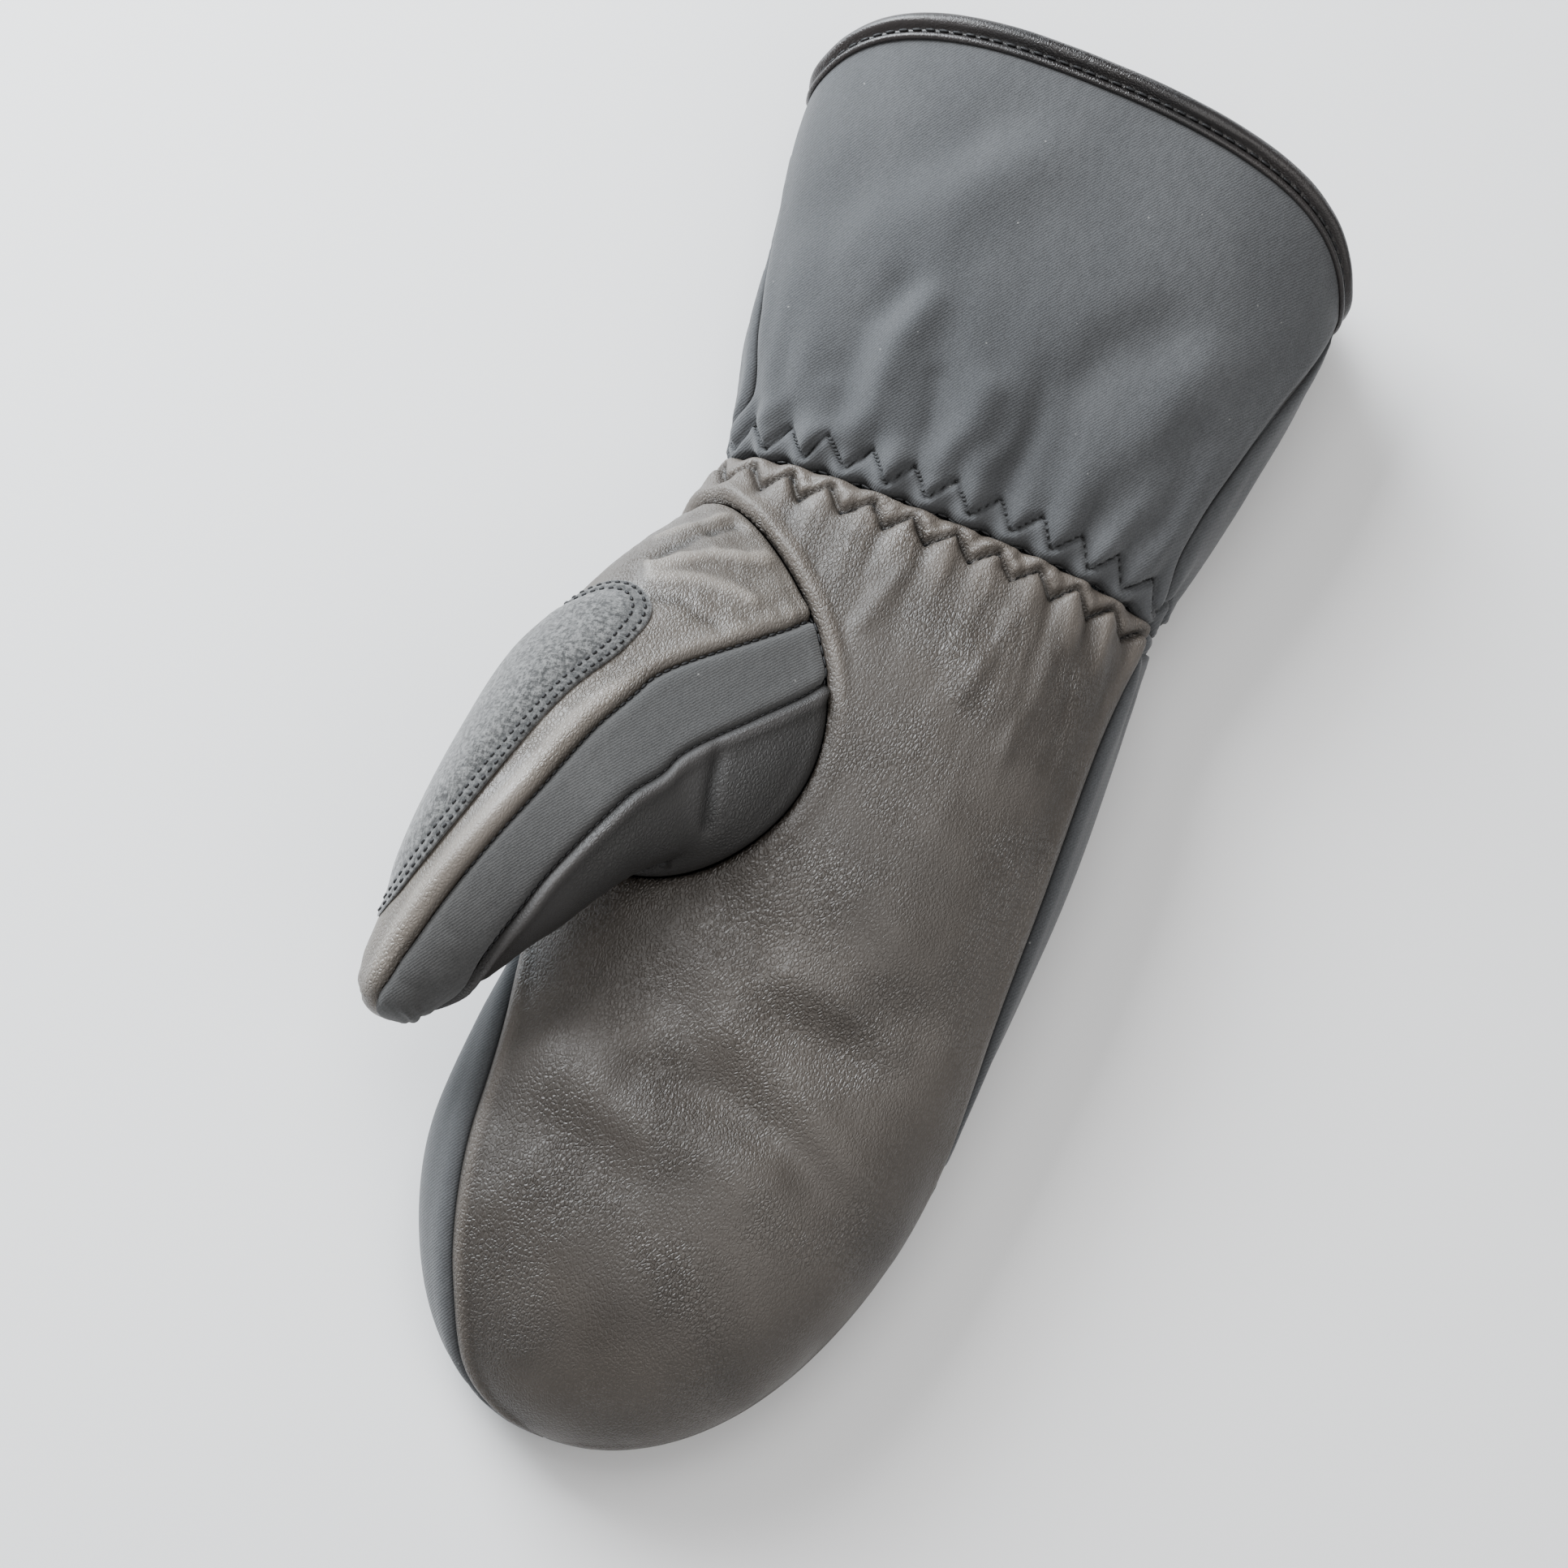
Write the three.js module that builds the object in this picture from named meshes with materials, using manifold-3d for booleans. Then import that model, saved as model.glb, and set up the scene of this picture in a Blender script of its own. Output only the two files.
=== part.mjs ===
// A right-hand winter mitten with a gauntlet cuff, lying on its back with the palm up.
// Millimetres. +X is the little-finger side, +Y runs from the fingertips to the cuff, +Z is up.
// The origin is on the floor, under the middle of the mitten's box.

import * as THREE from 'three';
import { mergeVertices } from 'three/addons/utils/BufferGeometryUtils.js';
import Module from 'manifold-3d';

// Driving sizes of the cloth and leather.
const wall = 2.0;
const seamGap = 0.3;

// Driving sizes of the hand.
const handLength = 211;
const palmWidth = 106;
const handThickness = 50;
const fingertipRise = 14;
const fingertipShift = -8.5;
const roundThumbSide = 58;
const roundLittleSide = 88;
const roundTop = 52;
const roundUnder = 30;
const wristTilt = 2.5;

// Driving sizes of the cuff.
const cuffLength = 91;
const hemRise = 18;
const rimTilt = 5;
const rimFlatness = 0.4;
const rimWidth = 128.5;
const rimShift = 11.5;
const rimThickness = 55;
const rimClearance = 2.2;
const bindingWidth = 7;
const bindingRoll = 4.4;
const rollOutside = 1.55;
const rollInside = 2.5;
const rollBulge = 0.3;
const lipGap = 0.45;

// Driving sizes of the thumb and of the hole that it is sewn into.
const thumbLength = 92;
const thumbSpread = 40;
const thumbThickness = 30;
const thumbTipRound = 6.5;
const holeFromWrist = 54;
const holeTowardCuff = 41;
const holeTowardTip = 44;
const holeTurn = 143;
const holeSpan = 45;
const holeSkew = 10;
const thumbBaseLift = 12;
const thumbBaseSlide = 0.55;
const patchThickness = 1.2;
const patchGap = 0.4;

// Driving sizes of the relief.
const dentDepth = 2.2;
const foldHeight = 2.4;
const gatherHeight = 0.9;
const gatherReach = 16;
const gatherCount = 6;
const foldStart = 8;

// How full the cross-sections are above and below the side lines.
const swellTop = 2.25;
const swellUnder = 2.9;
const swellThumb = 2.2;
const swellTip = 2.4;

// Cross-sections of the hand. at: share of handLength from the fingertip.
// left, right: shares of palmWidth. top, side, under: heights as shares of handThickness.
// littleSeam, thumbSeam: angles of the two palm seams round the section.
const handSections = [
  { at: 0.00, left: -0.500, right: 0.486, top: 0.76, side: 0.34, under: -0.03, littleSeam: -14, thumbSeam: 182 },
  { at: 0.06, left: -0.500, right: 0.486, top: 0.78, side: 0.35, under: -0.03, littleSeam: -13, thumbSeam: 152 },
  { at: 0.13, left: -0.500, right: 0.486, top: 0.81, side: 0.37, under: -0.03, littleSeam: -11, thumbSeam: 145 },
  { at: 0.28, left: -0.500, right: 0.487, top: 0.85, side: 0.40, under: -0.03, littleSeam: -5, thumbSeam: 146 },
  { at: 0.37, left: -0.485, right: 0.494, top: 0.88, side: 0.42, under: -0.03, littleSeam: 3, thumbSeam: 153 },
  { at: 0.44, left: -0.465, right: 0.506, top: 0.90, side: 0.43, under: -0.03, littleSeam: 11, thumbSeam: 166 },
  { at: 0.53, left: -0.452, right: 0.527, top: 0.94, side: 0.44, under: -0.03, littleSeam: 20, thumbSeam: 186 },
  { at: 0.68, left: -0.442, right: 0.555, top: 0.99, side: 0.45, under: -0.03, littleSeam: 26, thumbSeam: 197 },
  { at: 0.83, left: -0.438, right: 0.566, top: 1.00, side: 0.46, under: -0.01, littleSeam: 27, thumbSeam: 197 },
  { at: 0.91, left: -0.438, right: 0.562, top: 0.97, side: 0.46, under: 0.02, littleSeam: 22, thumbSeam: 193 },
  { at: 0.97, left: -0.418, right: 0.548, top: 0.92, side: 0.46, under: 0.05, littleSeam: 14, thumbSeam: 189 },
  { at: 1.00, left: -0.385, right: 0.540, top: 0.88, side: 0.45, under: 0.06, littleSeam: 10, thumbSeam: 188 },
];

// Flare of the cuff. at: share of the way from the wrist seam to the rim.
// left, right, rise: shares of the change from the wrist's section to the rim's.
const cuffSections = [
  { at: 0.00, left: 0.00, right: 0.00, rise: 0.00, littleSeam: 10, thumbSeam: 188 },
  { at: 0.06, left: 0.14, right: 0.15, rise: 0.20, littleSeam: 17, thumbSeam: 176 },
  { at: 0.14, left: 0.28, right: 0.28, rise: 0.38, littleSeam: 22, thumbSeam: 162 },
  { at: 0.30, left: 0.54, right: 0.50, rise: 0.65, littleSeam: 24, thumbSeam: 165 },
  { at: 0.55, left: 0.71, right: 0.78, rise: 0.86, littleSeam: 20, thumbSeam: 178 },
  { at: 0.80, left: 0.94, right: 0.94, rise: 0.96, littleSeam: 8, thumbSeam: 184 },
  { at: 1.00, left: 1.00, right: 1.00, rise: 1.00, littleSeam: -2, thumbSeam: 186 },
];

// Stations of the thumb, from near its hole to its tip, measured from the middle of the hole.
// Out: shares of thumbSpread toward the thumb side. Down: shares of thumbLength toward the fingertips.
// lift, above, below: shares of thumbThickness. lean: tilt of the station's thickness, in degrees.
const thumbStations = [
  { at: 0.22, outerOut: 0.600, outerDown: -0.080, innerOut: -0.29, innerDown: 0.440,
    lift: 0.23, above: 0.53, below: 0.47, lean: 32 },
  { at: 0.36, outerOut: 0.790, outerDown: 0.100, innerOut: -0.19, innerDown: 0.484,
    lift: 0.27, above: 0.53, below: 0.43, lean: 22 },
  { at: 0.52, outerOut: 0.900, outerDown: 0.326, innerOut: -0.02, innerDown: 0.587,
    lift: 0.30, above: 0.52, below: 0.40, lean: 12 },
  { at: 0.67, outerOut: 0.958, outerDown: 0.533, innerOut: 0.15, innerDown: 0.700,
    lift: 0.30, above: 0.47, below: 0.40, lean: 5 },
  { at: 0.80, outerOut: 0.975, outerDown: 0.707, innerOut: 0.35, innerDown: 0.815,
    lift: 0.23, above: 0.38, below: 0.37, lean: 0 },
  { at: 0.91, outerOut: 0.995, outerDown: 0.870, innerOut: 0.59, innerDown: 0.945,
    lift: 0.18, above: 0.28, below: 0.28, lean: 0 },
  { at: 1.00, outerOut: 0.960, outerDown: 0.984, innerOut: 0.65, innerDown: 0.990,
    lift: 0.17, above: 0.22, below: 0.22, lean: 0 },
];

// Seams along the thumb, as angles round it: 0 is its outer edge, 90 its top.
const thumbSeams = [
  { at: 0.00, stripOuter: 60, stripInner: 78 },
  { at: 0.22, stripOuter: 73, stripInner: 104 },
  { at: 0.36, stripOuter: 78, stripInner: 109 },
  { at: 0.52, stripOuter: 82, stripInner: 116 },
  { at: 0.67, stripOuter: 82, stripInner: 125 },
  { at: 0.80, stripOuter: 82, stripInner: 147 },
  { at: 0.87, stripOuter: 84, stripInner: 195 },
  { at: 0.93, stripOuter: 84, stripInner: 228 },
  { at: 1.00, stripOuter: 66, stripInner: 232 },
];
const hiddenSeam = 235;
// How far along the thumb its inner panel reaches before the strip covers the tip.
const innerPanelEnd = 0.94;

// The felt patch on the thumb's outer edge: where it starts and ends along the thumb,
// and how far round it reaches on the two sides. lean: how far round its wrist end turns
// up toward the palm, in degrees.
const patch = { from: 0.163, to: 0.85, top: 57, under: -37, lean: 24 };

// Dents and swells of the palm. along: share of handLength from the fingertip.
// across: share of palmWidth. length, width: shares of palmWidth. depth: share of dentDepth.
const palmDents = [
  { along: 0.46, across: 0.26, turn: 35, length: 0.20, width: 0.08, depth: 1.0 },
  { along: 0.39, across: -0.03, turn: -30, length: 0.22, width: 0.10, depth: 0.8 },
  { along: 0.35, across: -0.22, turn: 20, length: 0.16, width: 0.10, depth: -0.7 },
  { along: 0.29, across: 0.28, turn: 10, length: 0.20, width: 0.12, depth: -0.5 },
  { along: 0.55, across: -0.16, turn: -25, length: 0.26, width: 0.09, depth: 0.9 },
];

// Folds that rise from the wrist seam into the palm side of the cuff.
// across: share of the way from the little-finger seam to the thumb seam. drift: its change along the fold.
// reach: share of the cuff's length. width: share across. height: share of foldHeight.
const cuffFolds = [
  { across: 0.87, drift: -0.10, reach: 0.35, width: 0.045, height: 0.9 },
  { across: 0.70, drift: -0.22, reach: 0.55, width: 0.055, height: 1.1 },
  { across: 0.54, drift: -0.05, reach: 0.40, width: 0.050, height: 0.8 },
  { across: 0.39, drift: 0.02, reach: 0.30, width: 0.045, height: 0.7 },
  { across: 0.22, drift: -0.12, reach: 0.45, width: 0.050, height: 0.9 },
  { across: 0.10, drift: -0.12, reach: 0.40, width: 0.040, height: 0.8 },
];
// The broad hollow beside the highest fold.
const cuffHollow = { across: 0.80, along: 0.44, width: 0.09, length: 0.20, depth: 1.2 };

// Where the rows of the wipe patch lie, from -1 at its one end to 1 at the other, and how its
// outline rounds off toward the ends.
const patchPlaces = [-1, -0.93, -0.8, -0.6, -0.3, 0, 0.3, 0.6, 0.8, 0.93, 1];
const patchEndFullness = 2.6;
const patchSideFullness = 2.2;

// How finely the sheets are divided, and how much closer rows lie where the shape turns quickly.
const handRows = 28;
const palmColumns = 24;
const cuffRows = 11;
const cuffColumns = 24;
const thumbRows = 12;
const tipRows = 5;
const patchColumns = 9;
const thumbOuterColumns = 13;
const stripColumns = 5;
const thumbInnerColumns = 8;
const rimSteps = 72;
const holeSteps = 48;
const plugRings = [0, 0.25, 0.5, 0.75, 0.9, 1];
const handEndCloseness = 0.7;
const cuffStartCloseness = 1.2;
const tipTurn = 87;

// Small steps for the surfaces' slopes: a share of the way along, and radians round.
const alongStep = 0.002;
const turnStep = 0.01;

const fingertipY = -(handLength + cuffLength + hemRise) / 2;
const radians = THREE.MathUtils.degToRad;

// The value of one column of a table at a place between its rows, on a smooth curve.
function along(table, column, at) {
  let row = 0;
  while (row < table.length - 2 && at > table[row + 1].at) row += 1;
  const slope = (k) => {
    const before = table[Math.max(k - 1, 0)];
    const after = table[Math.min(k + 1, table.length - 1)];
    return (after[column] - before[column]) / (after.at - before.at);
  };
  const start = table[row];
  const end = table[row + 1];
  const span = end.at - start.at;
  const t = THREE.MathUtils.clamp((at - start.at) / span, 0, 1);
  const t2 = t * t;
  const t3 = t2 * t;
  return (2 * t3 - 3 * t2 + 1) * start[column] + (t3 - 2 * t2 + t) * span * slope(row)
    + (3 * t2 - 2 * t3) * end[column] + (t3 - t2) * span * slope(row + 1);
}

// A sine or cosine raised to a power with its sign kept, which squares up an oval.
function swell(value, fullness) {
  return Math.sign(value) * Math.abs(value) ** (2 / fullness);
}

// A point on an oval cross-section whose side line lies between its top and its underside.
function sectionPoint(turn, section) {
  const c = Math.cos(turn);
  const s = Math.sin(turn);
  const fullness = s >= 0 ? swellTop : swellUnder;
  const reach = s >= 0 ? section.top - section.side : section.side - section.under;
  const x = (section.left + section.right) / 2 + (section.right - section.left) / 2 * swell(c, fullness);
  return { x, z: section.side + reach * swell(s, fullness) };
}

// A quarter round that starts steeply at the fingertip and is full at its radius.
function dome(distance, radius) {
  const rest = 1 - THREE.MathUtils.clamp(distance / radius, 0, 1);
  return Math.sqrt(1 - rest * rest);
}

function handSection(at) {
  const distance = at * handLength;
  const grow = (value, from, radius) => from + (value - from) * dome(distance, radius);
  return {
    left: grow(along(handSections, 'left', at) * palmWidth, fingertipShift, roundThumbSide),
    right: grow(along(handSections, 'right', at) * palmWidth, fingertipShift, roundLittleSide),
    top: grow(along(handSections, 'top', at) * handThickness, fingertipRise, roundTop),
    side: grow(along(handSections, 'side', at) * handThickness, fingertipRise, roundTop),
    under: grow(along(handSections, 'under', at) * handThickness, fingertipRise, roundUnder),
  };
}

// The share of the way across a panel, from the little-finger seam round to the thumb seam.
function shareAcross(table, at, turn) {
  const little = radians(along(table, 'littleSeam', at));
  const palm = radians(along(table, 'thumbSeam', at)) - little;
  const wholeTurn = 2 * Math.PI;
  const past = (turn - little + wholeTurn) % wholeTurn;
  return past <= palm ? past / palm : (past - palm) / (wholeTurn - palm);
}

// The soft gathers that the wrist elastic draws into both sides of the seam.
function gather(share, distance) {
  const fade = Math.exp(-((distance / gatherReach) ** 2));
  return gatherHeight * fade * Math.cos(2 * Math.PI * gatherCount * share);
}

function palmDent(x, distance) {
  let depth = 0;
  for (const dent of palmDents) {
    const turn = radians(dent.turn);
    const dx = x / palmWidth - dent.across;
    const dy = (distance - dent.along * handLength) / palmWidth;
    const lengthwise = (dx * Math.cos(turn) + dy * Math.sin(turn)) / dent.length;
    const crosswise = (dy * Math.cos(turn) - dx * Math.sin(turn)) / dent.width;
    depth += dent.depth * dentDepth * Math.exp(-(lengthwise ** 2) - crosswise ** 2);
  }
  return depth;
}

// A point of the hand's outer surface, with its dents and gathers.
function handPoint(at, turn) {
  const section = handSection(at);
  const flat = sectionPoint(turn, section);
  const c = Math.cos(turn);
  const s = Math.sin(turn);
  const outX = c * (section.top - section.under);
  const outZ = s * (section.right - section.left);
  const size = Math.hypot(outX, outZ) || 1;
  const distance = at * handLength;
  const facing = Math.max(s, 0) ** 2;
  const relief = gather(shareAcross(handSections, at, turn), handLength - distance)
    - facing * palmDent(flat.x, distance);
  return new THREE.Vector3(
    flat.x + relief * outX / size,
    fingertipY + distance - wristTilt * c * at ** 3,
    Math.max(flat.z + relief * outZ / size, 0),
  );
}

function cuffSection(at) {
  const wrist = handSection(1);
  const rise = along(cuffSections, 'rise', at);
  const rim = {
    left: rimShift - rimWidth / 2,
    right: rimShift + rimWidth / 2,
    top: rimThickness,
    side: rimThickness / 2,
    under: rimClearance,
  };
  const flare = (key, share) => wrist[key] + (rim[key] - wrist[key]) * share;
  return {
    left: flare('left', along(cuffSections, 'left', at)),
    right: flare('right', along(cuffSections, 'right', at)),
    top: flare('top', rise),
    side: flare('side', rise),
    under: flare('under', rise),
  };
}

function cuffRelief(at, turn) {
  const share = shareAcross(cuffSections, at, turn);
  const s = Math.sin(turn);
  let height = gather(share, at * cuffLength);
  const rampUp = Math.min(1, at * cuffLength / foldStart);
  if (s > 0) {
    for (const fold of cuffFolds) {
      const off = (share - fold.across - fold.drift * at) / fold.width;
      height += s * fold.height * foldHeight * Math.exp(-(off ** 2) - (at / fold.reach) ** 2) * rampUp;
    }
    const across = (share - cuffHollow.across) / cuffHollow.width;
    const lengthwise = (at - cuffHollow.along) / cuffHollow.length;
    height -= s * cuffHollow.depth * foldHeight * Math.exp(-(across ** 2) - lengthwise ** 2);
  }
  return height;
}

// How far the rim lies from the wrist seam at an angle round the cuff. It rises from the sides in a curve.
function rimReach(turn) {
  const height = Math.sin(turn) ** 2;
  const arch = height * (1 + rimFlatness) / (height + rimFlatness);
  return cuffLength + hemRise * arch - (rimTilt - wristTilt) * Math.cos(turn);
}

// A point of the cuff's outer surface, measured from the wrist seam.
function cuffPoint(at, turn) {
  const section = cuffSection(at);
  const flat = sectionPoint(turn, section);
  const c = Math.cos(turn);
  const s = Math.sin(turn);
  const outX = c * (section.top - section.under);
  const outZ = s * (section.right - section.left);
  const size = Math.hypot(outX, outZ);
  const relief = cuffRelief(at, turn);
  return new THREE.Vector3(
    flat.x + relief * outX / size,
    at * rimReach(turn) - wristTilt * c,
    Math.max(flat.z + relief * outZ / size, 0),
  );
}

// The outward normal of a surface, from its slope lengthwise and round.
function normalOf(surface, at, turn, step) {
  const lengthwise = surface(at + step, turn).sub(surface(at - step, turn));
  const around = surface(at, turn + turnStep).sub(surface(at, turn - turnStep));
  return lengthwise.cross(around).normalize();
}

// The surface set in by a depth, for the inner side of a wall.
function handAt(at, turn, depth) {
  if (at === 0) return handPoint(0, turn).add(new THREE.Vector3(0, depth, 0));
  const step = Math.min(alongStep, at / 2);
  return handPoint(at, turn).addScaledVector(normalOf(handPoint, at, turn, step), -depth);
}

function cuffAt(at, turn, depth) {
  return cuffPoint(at, turn).addScaledVector(normalOf(cuffPoint, at, turn, alongStep), -depth);
}

// The thumb's hole in the palm: an oval drawn on the hand's surface.
const holeAt = 1 - holeFromWrist / handLength;

function holePlace(turn, scale) {
  const c = Math.cos(turn) * scale;
  const s = Math.sin(turn) * scale;
  const reach = c >= 0 ? holeTowardCuff : holeTowardTip;
  return {
    at: holeAt + reach * c / handLength,
    turn: radians(holeTurn - holeSpan * s + holeSkew * c),
  };
}

const thumbRoot = handPoint(holeAt, radians(holeTurn));

// A point of one of the thumb's stations, measured from the middle of its hole.
function stationPoint(at, turn) {
  const value = (column) => along(thumbStations, column, at);
  const outer = new THREE.Vector2(-value('outerOut') * thumbSpread, -value('outerDown') * thumbLength);
  const inner = new THREE.Vector2(-value('innerOut') * thumbSpread, -value('innerDown') * thumbLength);
  const roundShare = thumbTipRound / thumbLength;
  const past = THREE.MathUtils.clamp((at - 1 + roundShare) / roundShare, 0, 1);
  const closing = (1 - past ** swellTip) ** (1 / swellTip);
  const sideways = swell(Math.cos(turn), swellThumb) * closing / 2;
  const upward = swell(Math.sin(turn), swellThumb) * closing * thumbThickness
    * value(Math.sin(turn) >= 0 ? 'above' : 'below');
  const lean = radians(value('lean'));
  return new THREE.Vector3(
    (outer.x + inner.x) / 2 + (outer.x - inner.x) * sideways + Math.sin(lean) * upward,
    (outer.y + inner.y) / 2 + (outer.y - inner.y) * sideways,
    value('lift') * thumbThickness + Math.cos(lean) * upward,
  );
}

// A point of the thumb's outer surface. Below the first station it runs in from the hole's edge.
function thumbPoint(at, turn) {
  const join = thumbStations[0].at;
  if (at >= join) return stationPoint(at, turn);
  const place = holePlace(turn, 1 - seamGap / holeTowardCuff);
  const base = handPoint(place.at, place.turn).sub(thumbRoot);
  const normal = normalOf(handPoint, place.at, place.turn, alongStep);
  const station = stationPoint(join, turn);
  const arriving = stationPoint(join + alongStep, turn).sub(station).multiplyScalar(join / alongStep);
  const leaving = normal.multiplyScalar(thumbBaseLift)
    .addScaledVector(station.clone().sub(base), thumbBaseSlide);
  const u = Math.max(at, 0) / join;
  return base.multiplyScalar(2 * u ** 3 - 3 * u ** 2 + 1)
    .addScaledVector(leaving, u ** 3 - 2 * u ** 2 + u)
    .addScaledVector(station, 3 * u ** 2 - 2 * u ** 3)
    .addScaledVector(arriving, u ** 3 - u ** 2);
}

function thumbAt(at, turn, depth) {
  const step = Math.min(alongStep, (1 - at) / 2);
  const centre = Math.max(at, step);
  return thumbPoint(at, turn).addScaledVector(normalOf(thumbPoint, centre, turn, step), -depth);
}

// A closed mesh from triangles given as rows of three points, without the empty ones.
function closedMesh(triangles) {
  const positions = triangles.flatMap((triangle) => triangle.flatMap((p) => [p.x, p.y, p.z]));
  const loose = new THREE.BufferGeometry();
  loose.setAttribute('position', new THREE.Float32BufferAttribute(positions, 3));
  const merged = mergeVertices(loose, 1e-3);
  const index = merged.getIndex().array;
  const kept = [];
  for (let i = 0; i < index.length; i += 3) {
    const [a, b, c] = [index[i], index[i + 1], index[i + 2]];
    if (a !== b && b !== c && c !== a) kept.push(a, b, c);
  }
  merged.setIndex(kept);
  return merged;
}

// A wall between an outer and an inner sheet of points. The sheets are grids of the same size,
// and each row's points run so that (next row) x (next column) points outward.
function wallMesh(outer, inner) {
  const triangles = [];
  const quad = (a, b, c, d) => triangles.push([a, b, c], [a, c, d]);
  const lastRow = outer.length - 1;
  const lastColumn = outer[0].length - 1;
  for (let i = 0; i < lastRow; i += 1) {
    for (let j = 0; j < lastColumn; j += 1) {
      quad(outer[i][j], outer[i + 1][j], outer[i + 1][j + 1], outer[i][j + 1]);
      quad(inner[i][j], inner[i][j + 1], inner[i + 1][j + 1], inner[i + 1][j]);
    }
    quad(outer[i][0], inner[i][0], inner[i + 1][0], outer[i + 1][0]);
    quad(outer[i][lastColumn], outer[i + 1][lastColumn], inner[i + 1][lastColumn], inner[i][lastColumn]);
  }
  for (let j = 0; j < lastColumn; j += 1) {
    quad(outer[0][j], outer[0][j + 1], inner[0][j + 1], inner[0][j]);
    quad(outer[lastRow][j], inner[lastRow][j], inner[lastRow][j + 1], outer[lastRow][j + 1]);
  }
  return closedMesh(triangles);
}

// Shares from 0 to 1 in steps that are shorter at both ends.
function sharesCloseAtEnds(count) {
  const share = (k) => k / count - handEndCloseness * Math.sin(2 * Math.PI * k / count) / (2 * Math.PI);
  return Array.from({ length: count + 1 }, (_, k) => share(k));
}

function evenShares(count) {
  return Array.from({ length: count + 1 }, (_, k) => k / count);
}

// One panel between two seams. The seams are functions of the row, and each edge stays
// half a seam gap short of its seam.
function panel(rows, columns, surface, seamA, seamB, depthOuter, depthInner) {
  const sheet = (depth) => rows.map((at) => {
    const from = seamA(at);
    const to = seamB(at);
    const edgeTurn = (turn) => {
      const speed = surface(at, turn + turnStep, 0).distanceTo(surface(at, turn - turnStep, 0)) / 2;
      return Math.min(turnStep * seamGap / 2 / speed, Math.abs(to - from) / 4);
    };
    const start = from + Math.sign(to - from) * edgeTurn(from);
    const end = to - Math.sign(to - from) * edgeTurn(to);
    return columns.map((share) => surface(at, start + (end - start) * share, depth));
  });
  return wallMesh(sheet(depthOuter), sheet(depthInner));
}

const wasm = await Module();
wasm.setup();

function toSolid(geometry) {
  const vertProperties = new Float32Array(geometry.getAttribute('position').array);
  const triVerts = new Uint32Array(geometry.getIndex().array);
  return new wasm.Manifold(new wasm.Mesh({ numProp: 3, vertProperties, triVerts }));
}

function fromSolid(solid) {
  const mesh = solid.getMesh();
  const geometry = new THREE.BufferGeometry();
  geometry.setAttribute('position', new THREE.Float32BufferAttribute(mesh.vertProperties, 3));
  geometry.setIndex([...mesh.triVerts]);
  return geometry;
}

// The hand: rows run from the fingertip to just short of the wrist seam.
const handShares = sharesCloseAtEnds(handRows).map((share) => share * (1 - seamGap / 2 / handLength));
const palmShares = evenShares(palmColumns);
const handSeam = (key, wholeTurn = 0) => (at) => radians(along(handSections, key, at) + wholeTurn);

// At the fingertip a panel ends in one point, half a seam gap to its own side of the seam.
function handPanelAt(side) {
  return (at, turn, depth) => {
    const point = handAt(at, turn, depth);
    if (at === 0) point.z += side * seamGap / 2;
    return point;
  };
}

function palmPanel() {
  const whole = panel(handShares, palmShares, handPanelAt(1),
    handSeam('littleSeam'), handSeam('thumbSeam'), 0, wall);
  // The piece cut out for the thumb reaches past both sides of the wall.
  const margin = 2 * wall;
  const turns = evenShares(holeSteps);
  const sheet = (depth) => plugRings.map((scale) => turns.map((share) => {
    const place = holePlace(-share * 2 * Math.PI, scale);
    return handAt(place.at, place.turn, depth);
  }));
  return fromSolid(toSolid(whole).subtract(toSolid(plugMesh(sheet(-margin), sheet(wall + margin)))));
}

// A plug between two round sheets whose first row is one point and whose rows close on themselves.
function plugMesh(outer, inner) {
  const triangles = [];
  const quad = (a, b, c, d) => triangles.push([a, b, c], [a, c, d]);
  const last = outer.length - 1;
  for (let j = 0; j < outer[0].length - 1; j += 1) {
    for (let i = 0; i < last; i += 1) {
      quad(outer[i][j], outer[i + 1][j], outer[i + 1][j + 1], outer[i][j + 1]);
      quad(inner[i][j], inner[i][j + 1], inner[i + 1][j + 1], inner[i + 1][j]);
    }
    quad(outer[last][j], inner[last][j], inner[last][j + 1], outer[last][j + 1]);
  }
  return closedMesh(triangles);
}

function backPanel() {
  return panel(handShares, palmShares, handPanelAt(-1),
    handSeam('thumbSeam'), handSeam('littleSeam', 360), 0, wall);
}

// The cuff: rows run from just past the wrist seam to the roll of the binding.
function cuffPanelAt(share, turn, depth) {
  const start = seamGap / 2 / rimReach(turn);
  const end = 1 - (bindingRoll + seamGap) / rimReach(turn);
  return cuffAt(start + (end - start) * share, turn, depth);
}

const cuffShares = evenShares(cuffRows).map((share) => share ** cuffStartCloseness);
const cuffAcross = evenShares(cuffColumns);
const cuffSeam = (key, wholeTurn = 0) => (at) => radians(along(cuffSections, key, at) + wholeTurn);

function cuffPalmPanel() {
  return panel(cuffShares, cuffAcross, cuffPanelAt, cuffSeam('littleSeam'), cuffSeam('thumbSeam'), 0, wall);
}

function cuffBackPanel() {
  const seamBack = cuffSeam('littleSeam', 360);
  return panel(cuffShares, cuffAcross, cuffPanelAt, cuffSeam('thumbSeam'), seamBack, 0, wall);
}

// The binding's cross-section. out: distance outward from the cuff's outer surface.
// up: distance past the rim, which is the top of the roll.
function bindingProfile() {
  return [
    { out: lipGap, up: -bindingWidth },
    { out: rollOutside, up: -bindingWidth },
    { out: rollOutside + rollBulge, up: -bindingRoll * 0.8 },
    { out: rollOutside, up: -bindingRoll * 0.25 },
    { out: (rollOutside - rollInside) / 2, up: 0 },
    { out: rollBulge - rollInside, up: -bindingRoll * 0.25 },
    { out: -rollInside, up: -bindingRoll * 0.7 },
    { out: rollBulge - rollInside, up: -bindingRoll },
    { out: lipGap, up: -bindingRoll },
  ];
}

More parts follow.
